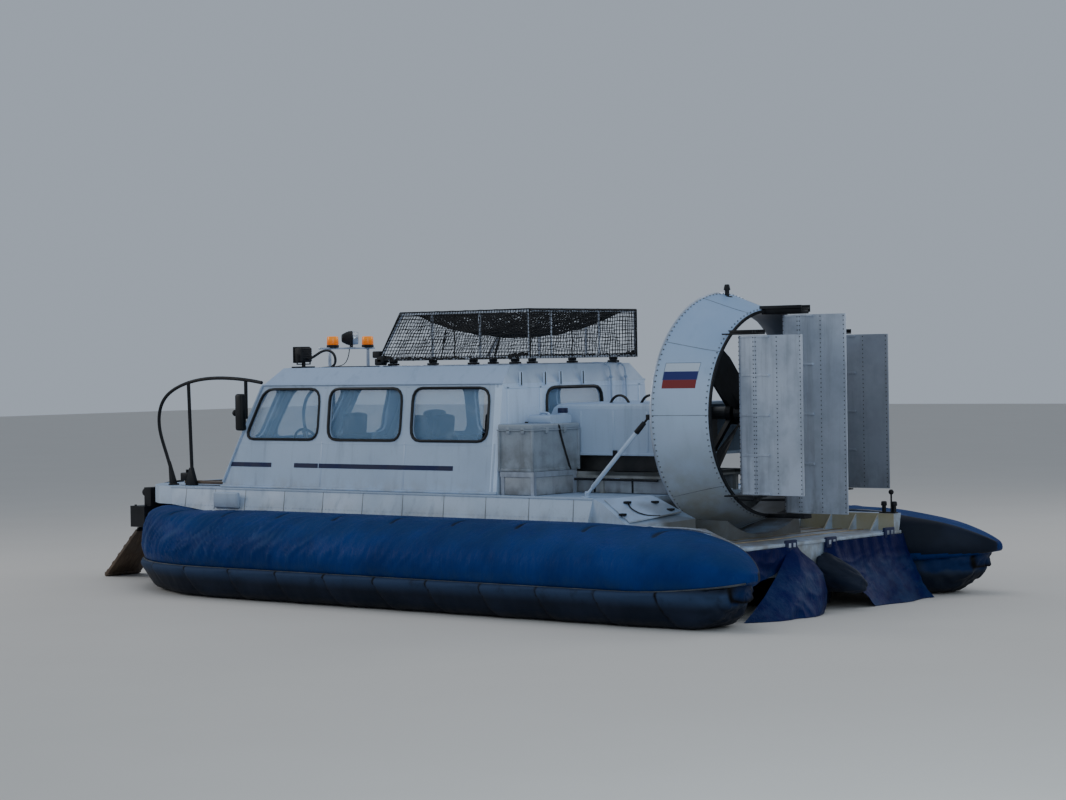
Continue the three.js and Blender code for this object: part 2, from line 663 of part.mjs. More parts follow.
// A square tube between two points of the rack, along X, Y or Z, of a half thickness and past its ends by a lap
function rackTube(from, to, half, lap = 0) {
  return box(...from.map((value, i) => {
    const reach = value === to[i] ? half : lap;
    return [Math.min(value, to[i]) - reach, Math.max(value, to[i]) + reach];
  }));
}
const CROSS_HALF = 10;
const POST_HALF = 9;
const rackTubes = RACK_AFT_POSTS.map((y) => (
  rackTube([RACK_AFT_X, y, RACK_FLOOR_Z], [RACK_AFT_X, y, RACK_TOP_Z], 7)
));
for (const side of [-1, 1]) {
  const y = side * RACK_HALF;
  const foot = side * (RACK_HALF - 60);
  rackTubes.push(rackTube([RACK_AFT_X, y, RACK_FLOOR_Z], [RACK_FRONT_X, y, RACK_FLOOR_Z], RACK_TUBE, 12));
  rackTubes.push(rackTube([RACK_AFT_X, y, RACK_TOP_Z], [RACK_TOP_FRONT_X, y, RACK_TOP_Z], RACK_TUBE, 12));
  rackTubes.push(prism([
    [RACK_FRONT_X - 8, RACK_FLOOR_Z], [RACK_FRONT_X + 8, RACK_FLOOR_Z], [RACK_TOP_FRONT_X + 8, RACK_TOP_Z],
    [RACK_TOP_FRONT_X - 8, RACK_TOP_Z],
  ], 'y', y - POST_HALF, y + POST_HALF));
  for (const x of [RACK_AFT_X, ...RACK_POSTS]) {
    rackTubes.push(rackTube([x, y, RACK_FLOOR_Z], [x, y, RACK_TOP_Z], POST_HALF));
  }
  for (const x of RACK_FEET) {
    rackTubes.push(box([x - 35, x + 35], [foot - 13, foot + 13], [ROOF_Z + GAP, RACK_FLOOR_Z - 4]));
  }
}
for (const x of [RACK_AFT_X, ...RACK_FEET, RACK_FRONT_X]) {
  rackTubes.push(rackTube([x, -RACK_HALF, RACK_FLOOR_Z], [x, RACK_HALF, RACK_FLOOR_Z], CROSS_HALF));
}
for (const x of [RACK_AFT_X, RACK_TOP_FRONT_X]) {
  rackTubes.push(rackTube([x, -RACK_HALF, RACK_TOP_Z], [x, RACK_HALF, RACK_TOP_Z], CROSS_HALF));
}
add('roof_rack', join(...rackTubes), 'bare_aluminium');

const NET_OUT = RACK_TUBE + 2;
function netSolid(out, foot) {
  const outline = [
    [RACK_AFT_X - out, foot], [rackFrontX(foot) + out * 2, foot],
    [RACK_TOP_FRONT_X + out * 1.6, RACK_TOP_Z + out],
    [RACK_AFT_X - out, RACK_TOP_Z + out],
  ];
  return prism(outline, 'y', -RACK_HALF - out, RACK_HALF + out);
}
add('cargo_net', cut(netSolid(NET_OUT + 5, RACK_FLOOR_Z - 10), netSolid(NET_OUT, RACK_FLOOR_Z - 30)), 'net');

const LAMP_X = 2350;
add('roof_lamps', join(
  box([LAMP_X - 20, LAMP_X + 20], [-120, 560], [2430, 2460]),
  box([LAMP_X - 20, LAMP_X + 20], [-80, -50], [ROOF_Z + GAP, 2440]),
  box([LAMP_X - 20, LAMP_X + 20], [500, 530], [ROOF_Z + GAP, 2440]),
  cylinder(16, [LAMP_X, 200, 2450], [LAMP_X, 200, 2560], 8),
  cylinder(20, [LAMP_X, 465, 2450], [LAMP_X, 465, 2525], 8),
  cylinder(20, [LAMP_X, -65, 2450], [LAMP_X, -65, 2525], 8),
  cylinder(58, [LAMP_X, 465, 2520], [LAMP_X, 465, 2620], 16, 52),
  cylinder(58, [LAMP_X, -65, 2520], [LAMP_X, -65, 2620], 16, 52),
  cylinder(95, [LAMP_X - 60, 200, 2620], [LAMP_X + 90, 200, 2620], 20, 105),
), 'black_paint');
add('searchlight_port', join(
  cylinder(68, [LAMP_X + 50, 800, 2425], [LAMP_X + 170, 800, 2425], 20, 77),
  box([LAMP_X + 60, LAMP_X + 120], [770, 830], [ROOF_Z + GAP, 2370]),
), 'black_paint');

// Engine bay
const BED_TOP_Z = 1250;
const bedParts = [
  box([COVER_REAR_X + 60, -660], [-560, -490], [1190, BED_TOP_Z]),
  box([COVER_REAR_X + 60, -660], [490, 560], [1190, BED_TOP_Z]),
];
for (const x of [-720, -1300, -2110]) {
  bedParts.push(box([x - 25, x + 25], [-540, 540], [1195, 1245]));
  for (const y of [-525, 525]) {
    bedParts.push(box([x - 20, x + 20], [y - 20, y + 20], [DECK_Z + GAP, 1200]));
  }
}
add('engine_bed', join(...bedParts), 'black_paint');
add('engine', join(
  box([-1900, -780], [-380, 380], [BED_TOP_Z + GAP, 1780]),
  box([-2160, -1890], [-170, 170], [1300, 1850]),
  cylinder(60, [-2150, 0, DUCT_Z], [-2440, 0, DUCT_Z], 16),
), 'machinery');

// The cover is open below and at its rear end.
function coverSolid(inset, rear, foot) {
  const outline = [
    [COVER_FRONT_X - inset, foot], [COVER_FRONT_X - inset, COVER_TOP_Z - inset],
    [rear, COVER_TOP_Z - inset],
    [rear, foot],
  ];
  const side = prism(outline, 'y', -COVER_HALF + inset, COVER_HALF - inset);
  const front = rounded([
    [COVER_FRONT_X - inset, foot - 400], [COVER_FRONT_X - inset, COVER_TOP_Z - inset],
    [rear - 500, COVER_TOP_Z - inset], [rear - 500, foot - 400],
  ], 190 - inset);
  const across = rounded([
    [-COVER_HALF + inset, foot - 400], [COVER_HALF - inset, foot - 400],
    [COVER_HALF - inset, COVER_TOP_Z - inset],
    [-COVER_HALF + inset, COVER_TOP_Z - inset],
  ], 60);
  return common(common(side, prism(front, 'y', -SPAN, SPAN)), prism(across, 'x', -SPAN * 2, SPAN));
}
const coverInside = coverSolid(25, COVER_REAR_X - 20, COVER_Z - 20);
add('engine_cover', cut(coverSolid(0, COVER_REAR_X, COVER_Z), coverInside), 'cabin_paint');

const LOCKER_X = [-1010, -600];
const LOCKER_Y = [535, 1220];
const LOCKER_Z = [1270, 1710];
add('locker', prism(rounded([
  [LOCKER_Y[0], LOCKER_Z[0]], [LOCKER_Y[1], LOCKER_Z[0]],
  [LOCKER_Y[1], LOCKER_Z[1]], [LOCKER_Y[0], LOCKER_Z[1]],
], 40), 'x', ...LOCKER_X), 'bare_aluminium');
const FRAME_Z = [LOCKER_Z[0] - 50, LOCKER_Z[0] - GAP];
const frameX = [[LOCKER_X[0] - 10, LOCKER_X[0] + 40], [LOCKER_X[1] - 50, LOCKER_X[1]]];
const FRAME_Y = [570, LOCKER_Y[1]];
const frameY = [[FRAME_Y[0], FRAME_Y[0] + 50], [FRAME_Y[1] - 50, FRAME_Y[1]]];
const frameParts = [
  ...frameX.map((x) => box(x, FRAME_Y, FRAME_Z)),
  ...frameY.map((y) => box([LOCKER_X[0] - 10, LOCKER_X[1]], y, FRAME_Z)),
];
for (const [x0] of frameX) {
  for (const [y0] of frameY) {
    frameParts.push(box([x0 + 5, x0 + 45], [y0 + 5, y0 + 45], [DECK_Z + GAP, FRAME_Z[0] + 10]));
  }
}
add('locker_frame', join(...frameParts), 'bare_aluminium');
const CANISTER_Z = LOCKER_Z[1] + GAP;
add('canister', join(
  prism(rounded([
    [580, CANISTER_Z], [900, CANISTER_Z], [900, CANISTER_Z + 90], [580, CANISTER_Z + 90],
  ], 40), 'x', -970, -690),
  cylinder(32, [-920, 650, CANISTER_Z + 80], [-920, 650, CANISTER_Z + 150], 12),
), 'cabin_paint');

// Duct with the plates that carry the rudders' pins
const ductProfile = [
  [1076, DUCT_FRONT_X], [DUCT_FRONT_R - 12, DUCT_FRONT_X - 6], [DUCT_FRONT_R, DUCT_FRONT_X - 24],
  [1100, -2450], [1052, -2590], [1006, -2730], [DUCT_REAR_R, DUCT_REAR_X], [945, DUCT_REAR_X], [925, -2760],
  [918, -2620], [950, -2480], [1028, -2370], [1076, DUCT_FRONT_X],
];
const ductRing = new THREE.LatheGeometry(ductProfile.map(([r, x]) => new THREE.Vector2(r, x)), 64)
  .rotateZ(-Math.PI / 2)
  .translate(0, 0, DUCT_Z);
// Columns: name, y, foot, head, thickness and inner end of its pin plates.
const RUDDERS = [
  ['rudder_port', RUDDER_Y, 1077, 2522, 14, -2690],
  ['rudder_middle', 0, 872, 2711, 40, -2855],
  ['rudder_starboard', -RUDDER_Y, 1077, 2522, 14, -2690],
];
const PIN_GAP = 8;
const plates = RUDDERS.flatMap(([, y, foot, head, thick, inner]) => [head + PIN_GAP, foot - PIN_GAP - thick]
  .map((z) => box([RUDDER_HINGE_X - 70, inner], [y - 60, y + 60], [z, z + thick])));
const mastheadLamp = [
  cylinder(14, [-2420, 0, 2880], [-2420, 0, 2960], 8),
  cylinder(26, [-2420, 0, 2955], [-2420, 0, 3020], 10, 22),
];
add('duct', join(ductRing, ...plates, ...mastheadLamp), 'cabin_paint');

const STRUT_X = [-2500, -2450];
const struts = [cylinder(110, [STRUT_X[0] - 5, 0, DUCT_Z], [STRUT_X[1] + 5, 0, DUCT_Z], 20)];
for (let i = 0; i < 4; i += 1) {
  const arm = box(STRUT_X, [-18, 18], [60, 936]).rotateX((Math.PI / 4) * (1 + 2 * i)).translate(0, 0, DUCT_Z);
  struts.push(arm);
}
add('prop_support', join(...struts), 'black_paint');

// Propeller: four broad twisted blades. Columns: radius, chord, pitch in degrees.
const BLADE_ROWS = [[70, 130, 48], [300, 250, 36], [600, 270, 24], [PROP_R, 170, 17]];
function blade(angle) {
  const rings = BLADE_ROWS.map(([r, chord, pitch]) => {
    const tilt = THREE.MathUtils.degToRad(pitch);
    const section = [[-0.5, 0], [-0.2, 0.05], [0.25, 0.045], [0.5, 0], [0.1, -0.02], [-0.3, -0.02]];
    return section.map(([along, thick]) => {
      const [s, t] = [along * chord, thick * chord * (r > 500 ? 0.7 : 1)];
      return [s * Math.sin(tilt) + t * Math.cos(tilt), s * Math.cos(tilt) - t * Math.sin(tilt), r];
    });
  });
  return loft(rings).rotateX(angle);
}
const FIRST_BLADE = THREE.MathUtils.degToRad(47);
const blades = Array.from({ length: BLADES }, (_, i) => blade(FIRST_BLADE + (2 * Math.PI * i) / BLADES));
const propeller = join(
  cylinder(110, [75, 0, 0], [-75, 0, 0], 20),
  cylinder(110, [-74, 0, 0], [-190, 0, 0], 20, 30),
  ...blades,
).translate(PROP_X, 0, DUCT_Z);
add('propeller', propeller, 'black_paint');

// Rudders: a thin aerofoil on a vertical pin at a quarter of its chord
for (const [name, y, foot, head] of RUDDERS) {
  const outline = [
    [RUDDER_LEAD_X, 0], [RUDDER_LEAD_X - 40, 26], [RUDDER_HINGE_X, 40], [-3400, 26], [RUDDER_TRAIL_X, 5],
    [RUDDER_TRAIL_X, -5], [-3400, -26], [RUDDER_HINGE_X, -40], [RUDDER_LEAD_X - 40, -26],
  ];
  const vane = prism(outline.map(([x, dy]) => [x, y + dy]), 'z', foot, head);
  add(name, vane, 'bare_aluminium');
}

// Struts from the side deck to the duct's rim
addPair('duct_brace', join(
  cylinder(20, [-1680, 1240, 1075], [-2312, 1105, 1790], 10),
  box([-1720, -1640], [1205, 1275], [DECK_Z + GAP, 1085]),
), 'cabin_paint');

// Hatch lids on the shoulders
const lid = loft([
  [[-1905, 1270, 1027], [-2150, 880, 1050], [-2150, 880, 1062], [-1905, 1270, 1039]],
  [[-2262, 1350, 832], [-2500, 880, 908], [-2500, 880, 920], [-2262, 1350, 844]],
]);
addPair('shoulder_hatch', lid, 'cabin_paint');

// Bollards on the starboard coaming, and a short staff with a ball beside them
const BOLLARD_Y = -1330;
const bollardParts = [
  box([-3425, -3245], [BOLLARD_Y - 45, BOLLARD_Y + 45], [CHINE_Z + GAP, 812]),
  cylinder(12, [-3380, BOLLARD_Y + 20, 805], [-3380, BOLLARD_Y + 20, 1000], 8),
  new THREE.SphereGeometry(36, 12, 8).translate(-3380, BOLLARD_Y + 20, 1015),
];
for (const x of [-3285, -3400]) {
  bollardParts.push(cylinder(18, [x, BOLLARD_Y, 810], [x, BOLLARD_Y, 870], 10));
  bollardParts.push(cylinder(36, [x, BOLLARD_Y, 862], [x, BOLLARD_Y, 915], 12, 30));
}
add('bollards', join(...bollardParts), 'black_paint');

export default craft;
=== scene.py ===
import json
import math

import bmesh
import bpy
from mathutils import Matrix, Vector, noise


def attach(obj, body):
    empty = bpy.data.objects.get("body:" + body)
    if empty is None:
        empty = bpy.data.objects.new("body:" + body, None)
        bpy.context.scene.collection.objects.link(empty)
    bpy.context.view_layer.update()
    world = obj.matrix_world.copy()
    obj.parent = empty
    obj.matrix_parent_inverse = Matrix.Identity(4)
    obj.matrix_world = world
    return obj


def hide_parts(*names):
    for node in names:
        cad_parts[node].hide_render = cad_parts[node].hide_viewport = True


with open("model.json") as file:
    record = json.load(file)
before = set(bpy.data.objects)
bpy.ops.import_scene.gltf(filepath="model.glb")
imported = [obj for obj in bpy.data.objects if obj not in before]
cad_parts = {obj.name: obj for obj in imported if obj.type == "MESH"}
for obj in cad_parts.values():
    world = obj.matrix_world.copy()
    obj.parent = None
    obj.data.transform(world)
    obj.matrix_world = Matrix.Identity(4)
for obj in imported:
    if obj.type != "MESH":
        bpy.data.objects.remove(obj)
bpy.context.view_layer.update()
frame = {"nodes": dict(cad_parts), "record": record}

# Looks of a ten-seat amphibious hovercraft. Metres; +X is the bow, +Y port, +Z up, z = 0 the ground.
# Stations are read along X from a datum amidships, as the frame was drawn, and shifted by MIDSHIP.
MIDSHIP = 0.6148
CRAFT = "craft"
# Height of the propeller shaft, and so of the duct's middle
DUCT_Z = 1.8
SIDES = (("port", 1), ("starboard", -1))
# Points of a mesh that lie closer than this become one
MERGE_WITHIN = 1e-5


def at(x, y, z):
    """A point given by its station, offset to port and height."""
    return Vector((x - MIDSHIP, y, z))


def near(middle, half):
    """A span's ends, from its middle."""
    return middle - half, middle + half


# Camera, light and floor

def add_camera():
    azimuth, elevation, roll = 0.69982, 0.01634, -0.016448
    back = Vector((-math.sin(azimuth) * math.cos(elevation), math.cos(azimuth) * math.cos(elevation),
                   math.sin(elevation)))
    level = (-back).cross(Vector((0, 0, 1))).normalized()
    upright = level.cross(-back)
    right = level * math.cos(roll) + upright * math.sin(roll)
    up = upright * math.cos(roll) - level * math.sin(roll)
    data = bpy.data.cameras.new("camera")
    data.sensor_width = 36
    data.lens = 86.37
    data.clip_end = 300
    camera = placed("camera", data)
    camera.matrix_world = Matrix((right, up, back)).transposed().to_4x4()
    camera.matrix_world.translation = at(-16.587, 19.7, 2.348)
    bpy.context.scene.camera = camera


def add_light(name, place, target, size, power, colour):
    data = bpy.data.lights.new(name, "AREA")
    data.shape = "DISK"
    data.size = size
    data.energy = power
    data.color = colour
    light = placed(name, data)
    light.location = place
    light.rotation_euler = (Vector(target) - Vector(place)).to_track_quat("-Z", "Y").to_euler()


def add_studio():
    world = bpy.data.worlds.new("studio")
    world.use_nodes = True
    background = world.node_tree.nodes["Background"]
    background.inputs["Color"].default_value = (0.72, 0.82, 0.96, 1)
    background.inputs["Strength"].default_value = 0.5
    bpy.context.scene.world = world
    add_light("overhead", (0, 0, 14), (0, 0, 0), 14, 380, (1.0, 0.98, 0.96))
    add_light("bow_side", (12, 8, 7), (0, 0, 1), 6, 320, (1.0, 0.97, 0.93))
    add_light("far_side", (-8, -14, 9), (0, 0, 1), 8, 460, (0.95, 0.97, 1.0))
    add_light("camera_side", (-13, 10, 5), (0, 0, 1), 9, 420, (0.76, 0.9, 1.0))


# Modelling

def rest_tools():
    """Back in object mode with nothing selected."""
    if bpy.context.object and bpy.context.object.mode != "OBJECT":
        bpy.ops.object.mode_set(mode="OBJECT")
    bpy.ops.object.select_all(action="DESELECT")


def picked(piece):
    """Object mode with this piece alone selected."""
    rest_tools()
    piece.select_set(True)
    bpy.context.view_layer.objects.active = piece


def edit(piece, action="SELECT"):
    """Edit mode on a piece, with all or none of it selected."""
    picked(piece)
    bpy.ops.object.mode_set(mode="EDIT")
    bpy.ops.mesh.select_all(action=action)


def settle(piece):
    """Puts a piece's place into its mesh."""
    picked(piece)
    bpy.ops.object.transform_apply(location=True, rotation=True, scale=True)
    return piece


def placed(name, data):
    """A new object in the scene."""
    thing = bpy.data.objects.new(name, data)
    bpy.context.scene.collection.objects.link(thing)
    return thing


def copied(piece):
    """A copy with a mesh of its own."""
    twin = piece.copy()
    twin.data = piece.data.copy()
    bpy.context.scene.collection.objects.link(twin)
    return twin


def ball(radius, segments=6, rings=4, place=(MIDSHIP, 0, 0)):
    rest_tools()
    bpy.ops.mesh.primitive_uv_sphere_add(segments=segments, ring_count=rings, radius=radius, location=at(*place))
    return settle(bpy.context.object)


def block(x, y, z, bevel=0.0, segments=2):
    """A box between two stations, offsets and heights, its edges rounded."""
    rest_tools()
    centre = at(sum(x) / 2, sum(y) / 2, sum(z) / 2)
    bpy.ops.mesh.primitive_cube_add(size=1, location=centre, scale=(x[1] - x[0], y[1] - y[0], z[1] - z[0]))
    piece = settle(bpy.context.object)
    if bevel:
        edit(piece)
        bpy.ops.mesh.bevel(offset=bevel, segments=segments, affect="EDGES")
        rest_tools()
    return piece


def drum(start, end, radius, sides=24, top=None, bevel=0.0):
    """A round piece from one point to another, with rounded rims."""
    rest_tools()
    start, end = at(*start), at(*end)
    along = end - start
    top = radius if top is None else top
    bpy.ops.mesh.primitive_cone_add(
        vertices=sides, radius1=radius, radius2=top, depth=along.length, location=(start + end) / 2,
        rotation=along.to_track_quat("Z", "Y").to_euler(),
    )
    piece = settle(bpy.context.object)
    if bevel:
        edit(piece, "DESELECT")
        bpy.ops.object.mode_set(mode="OBJECT")
        caps = [p for p in piece.data.polygons if len(p.vertices) == sides]
        rims = {key for cap in caps for key in cap.edge_keys}
        for edge in piece.data.edges:
            edge.select = edge.key in rims
        bpy.ops.object.mode_set(mode="EDIT")
        bpy.ops.mesh.select_mode(type="EDGE")
        bpy.ops.mesh.bevel(offset=bevel, segments=2, affect="EDGES")
        rest_tools()
    return piece


def tube(points, radius, sides=12, smooth=True):
    """A round bar along points, as a mesh."""
    data = bpy.data.curves.new("tube", "CURVE")
    data.dimensions = "3D"
    data.bevel_depth = radius
    data.bevel_resolution = max(0, sides // 4 - 1)
    data.use_fill_caps = True
    spline = data.splines.new("NURBS" if smooth else "POLY")
    spline.points.add(len(points) - 1)
    for point, place in zip(spline.points, points):
        point.co = (*at(*place), 1)
    if smooth:
        spline.order_u = 4
        spline.use_endpoint_u = True
        spline.resolution_u = 6
    picked(placed("tube", data))
    bpy.ops.object.convert(target="MESH")
    return bpy.context.object


def joined(*pieces):
    """Several pieces as one."""
    rest_tools()
    for piece in pieces:
        piece.select_set(True)
    bpy.context.view_layer.objects.active = pieces[0]
    if len(pieces) > 1:
        bpy.ops.object.join()
    return bpy.context.object


def mirrored(piece):
    """A copy across the centre plane, with a mesh of its own."""
    twin = copied(piece)
    twin.scale = (1, -1, 1)
    return recalculated(settle(twin))


def recalculated(piece):
    """Doubles merged and faces turned outwards."""
    edit(piece)
    bpy.ops.mesh.remove_doubles(threshold=MERGE_WITHIN)
    bpy.ops.mesh.normals_make_consistent(inside=False)
    rest_tools()
    return piece


def finished(piece, name, finish, body=CRAFT, replaces=(), angle=35):
    """Names a piece, or several as one, gives it its finish, and puts it on a body."""
    if isinstance(piece, list):
        piece = joined(*piece)
    piece.name = name
    piece.data.materials.clear()
    piece.data.materials.append(finish)
    picked(piece)
    bpy.ops.object.shade_smooth_by_angle(angle=math.radians(angle))
    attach(piece, body)
    if replaces:
        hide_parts(*replaces)
    return piece


def repeated(template, places, name):
    """One mesh made of a small piece set down at each place, given as matrices."""
    points = [v.co.copy() for v in template.data.vertices]
    faces = [tuple(p.vertices) for p in template.data.polygons]
    all_points, all_faces = [], []
    for place in places:
        base = len(all_points)
        all_points.extend(place @ p for p in points)
        all_faces.extend(tuple(base + i for i in face) for face in faces)
    mesh = bpy.data.meshes.new(name)
    mesh.from_pydata(all_points, [], all_faces)
    bpy.data.objects.remove(template)
    return placed(name, mesh)


def facing(place, normal):
    """A matrix that stands a template on a surface, its Z along the normal."""
    turn = Vector(normal).normalized().to_track_quat("Z", "Y").to_matrix().to_4x4()
    return Matrix.Translation(place) @ turn


# Finishes: surface patterns are written as sums of values

class Value:
    """A number that varies over a surface; sums with it add Math nodes."""

    def __init__(self, finish, socket):
        self.finish = finish
        self.socket = socket

    def math(self, operation, *others, clamp=False):
        return self.finish.node(
            "ShaderNodeMath", {"operation": operation, "use_clamp": clamp}, [self, *others])

    def __add__(self, other):
        return self.math("ADD", other)

    def __sub__(self, other):
        return self.math("SUBTRACT", other)

    def __mul__(self, other):
        return self.math("MULTIPLY", other)

    __radd__ = __add__
    __rmul__ = __mul__

    def __rsub__(self, other):
        return self.finish.node("ShaderNodeMath", {"operation": "SUBTRACT"}, [other, self])

    def __abs__(self):
        return self.math("ABSOLUTE")

    def clamped(self):
        return self.math("ADD", 0.0, clamp=True)

    def step(self, low, high):
        """0 below low, 1 above high, smooth between; low may be the larger."""
        return self.finish.node(
            "ShaderNodeMapRange", {"interpolation_type": "SMOOTHSTEP"},
            {"Value": self, "From Min": low, "From Max": high})


class Finish:
    """A node material of one Principled shader."""

    def __init__(self, name, **shader):
        self.material = bpy.data.materials.new(name)
        self.material.use_nodes = True
        self.tree = self.material.node_tree
        self.shader = self.tree.nodes["Principled BSDF"]
        for socket, value in shader.items():
            self.set(socket.replace("_", " ").title(), value)
        self.place = self.node("ShaderNodeTexCoord", {}, {}, "Object")

    def node(self, kind, settings, inputs, output=0):
        node = self.tree.nodes.new(kind)
        for setting, value in settings.items():
            setattr(node, setting, value)
        pairs = inputs.items() if isinstance(inputs, dict) else enumerate(inputs)
        for key, value in pairs:
            if isinstance(value, Value):
                self.tree.links.new(value.socket, node.inputs[key])
            else:
                node.inputs[key].default_value = value
        return Value(self, node.outputs[output])

    def set(self, socket, value):
        if isinstance(value, Value):
            self.tree.links.new(value.socket, self.shader.inputs[socket])
        elif socket in ("Base Color", "Emission Color"):
            self.shader.inputs[socket].default_value = (*value[:3], 1)
        else:
            self.shader.inputs[socket].default_value = value

    def axes(self):
        split = self.node("ShaderNodeSeparateXYZ", {}, [self.place])
        node = split.socket.node
        return [Value(self, node.outputs[i]) for i in range(3)]

    def noise(self, scale, detail=3.0, rough=0.55, stretch=(1, 1, 1), turn=(0, 0, 0)):
        mapped = self.node(
            "ShaderNodeMapping", {}, {"Vector": self.place, "Scale": stretch, "Rotation": turn})
        return self.node(
            "ShaderNodeTexNoise", {}, {"Vector": mapped, "Scale": scale, "Detail": detail, "Roughness": rough},
            "Fac")

    def attribute(self, name):
        """A number that the mesh carries; 0 on a mesh without it."""
        return self.node("ShaderNodeAttribute", {"attribute_name": name}, {}, "Fac")

    def normals(self):
        normal = self.node("ShaderNodeNewGeometry", {}, {}, "Normal")
        split = self.node("ShaderNodeSeparateXYZ", {}, [normal])
        return [Value(self, split.socket.node.outputs[i]) for i in range(3)]

    def coat(self, share, over, under=None):
        """Lays a colour over what the finish shows so far, or over a first one."""
        self.base = self.mix(share, under or self.base, over)

    def made(self, roughness, normal, specular=0.5):
        """The material, once its shader has its colour, roughness and unevenness."""
        self.set("Base Color", self.base)
        self.set("Roughness", roughness)
        self.set("Normal", normal)
        self.set("Specular IOR Level", specular)
        return self.material

    def mix(self, share, under, over):
        """Colour between two colours."""
        def colour(value):
            return value if isinstance(value, Value) else (*value[:3], 1)
        return self.node(
            "ShaderNodeMix", {"data_type": "RGBA"}, {0: share, 6: colour(under), 7: colour(over)}, 2)

    def bump(self, height, distance, strength=1.0, under=None):
        inputs = {"Height": height, "Distance": distance, "Strength": strength}
        if under:
            inputs["Normal"] = under
        return self.node("ShaderNodeBump", {}, inputs, "Normal")


def worn_paint(name, colour, dirt, dirt_top, dirt_low):
    """Weathered white paint on riveted sheet: stains that run down, and chalky patches; upward faces painted darker
    as painted shade, and painted shade on the hull's upright faces under the duct.
    """
    f = Finish(name)
    x, y, z = f.axes()
    nx, _, nz = f.normals()
    patches = f.noise(1.6, 4).step(0.42, 0.68)
    streaks = f.noise(9, 4, 0.6, stretch=(1.0, 1.0, 0.09)).step(0.52, 0.74)
    fine = f.noise(60, 3, 0.6).step(0.5, 0.75)
    low = z.step(dirt_top, dirt_low)
    f.coat(patches * 0.45, [c * 0.84 for c in colour], colour)
    f.coat(streaks * 0.5, [c * 0.62 for c in colour])
    f.coat((low * f.noise(5, 4, 0.6).step(0.35, 0.7) * 0.75).clamped(), dirt)
    f.coat(fine * 0.12, dirt)
    # Painted shade: faces that look up are painted a darker blue-grey.
    f.coat(nz.step(0.4, 0.97) * 0.66, [c * k for c, k in zip(colour, (0.52, 0.64, 0.8))])
    well = (x.step(-2.75, -3.05) * z.step(0.87, 0.8) * abs(y).step(1.37, 1.33) * (-1 * nx).step(0.9, 0.6)).clamped()
    rust = (y.step(0.4, -0.4) * nz.step(0.95, 0.6)).clamped()
    f.coat(well * rust * 0.75, (0.44, 0.37, 0.19))
    soil = (well * nz.step(0.6, 0.95) * f.noise(2.5, 5, 0.7).step(0.3, 0.62)).clamped()
    f.coat(soil * 0.75, (0.15, 0.115, 0.075))
    # Painted shade under the duct: upright faces of the hull beneath it painted near black.
    shade_under_duct = x.step(-2.5, -2.8) * z.step(1.03, 0.97) * abs(y).step(1.16, 1.04) * abs(nz).step(0.98, 0.8)
    f.coat((shade_under_duct * x.step(-3.75, -3.6)).clamped() * 0.85, (0.07, 0.064, 0.048))
    height = f.noise(2.2, 2) * 0.8 + fine * 0.03
    return f.made(0.42 + patches * 0.2 + streaks * 0.12, f.bump(height, 0.006, 0.5))


def bare_metal():
    f = Finish("bare_aluminium", metallic=0.5)
    x, y, z = f.axes()
    cloud = f.noise(2.4, 5, 0.6).step(0.35, 0.7)
    streaks = f.noise(14, 4, 0.6, stretch=(1, 1, 0.07)).step(0.45, 0.75)
    f.coat(cloud, (0.36, 0.41, 0.49), (0.52, 0.58, 0.68))
    f.coat(streaks * 0.4, (0.2, 0.22, 0.25))
    # Painted shade: the starboard rudder painted darker all over, with a diagonal painted shadow of the middle
    # rudder across it.
    shade = (y.step(-0.55, -0.62) * (z + x * 0.9).step(-1.02, -1.3)).clamped()
    f.coat(shade * 0.42 + y.step(-0.55, -0.62) * 0.12, (0.11, 0.12, 0.145))
    grime = (z.step(1.75, 0.9) * f.noise(2.2, 5, 0.65, stretch=(1, 1, 0.5)).step(0.42, 0.62)).clamped()
    f.coat(grime * 0.55, (0.085, 0.085, 0.085))
    return f.made(0.38 + cloud * 0.2 + streaks * 0.15, f.bump(f.noise(3.5, 2), 0.008, 0.45))


def bag_fabric(name, deep, bright, dust_share):
    """Coated blue fabric, dusted on top, along its creases and near the ground, with painted shade in the notches
    at its fastenings.
    """
    f = Finish(name)
    x, _, z = f.axes()
    cloud = f.noise(1.3, 5, 0.6).step(0.36, 0.66)
    f.coat(cloud, deep, bright)
    fold = f.attribute("fold")
    f.coat(fold.step(0.35, 1.0) * 0.3, (0.045, 0.105, 0.22))
    # Painted shade in the notches at the fastenings, where the attribute falls below zero.
    f.coat(fold.step(-0.15, -1.0), (0.003, 0.006, 0.014))
    dust = (f.normals()[2].step(0.35, 0.98) * f.noise(3.5, 5, 0.65).step(0.28, 0.6)).clamped()
    f.coat(dust * dust_share, (0.018, 0.05, 0.125))
    bow_dust = (x.step(3.55, 4.25) * f.noise(5, 5, 0.65).step(0.33, 0.62)).clamped()
    f.coat(bow_dust * z.step(0.45, 0.75) * 0.35, (0.07, 0.085, 0.11))
    grime = (z.step(0.48, 0.33) * f.noise(6, 4, 0.65).step(0.32, 0.66)).clamped()
    f.coat(grime * 0.6, (0.016, 0.04, 0.11))
    scratch = f.noise(7, 5, 0.7, stretch=(2.6, 1.0, 0.8), turn=(0, 0.7, 0)).step(0.63, 0.74)
    f.coat(scratch * 0.16, (0.06, 0.12, 0.22))
    weave = f.noise(380, 2, 0.5)
    wrinkle = f.noise(6, 5, 0.62, stretch=(2.6, 2.6, 0.5), turn=(0, 0.55, 0))
    return f.made(0.46 + dust * 0.3 + cloud * 0.12, f.bump(weave, 0.0005, 0.3, f.bump(wrinkle, 0.03, 0.45)),
                  specular=0.11)


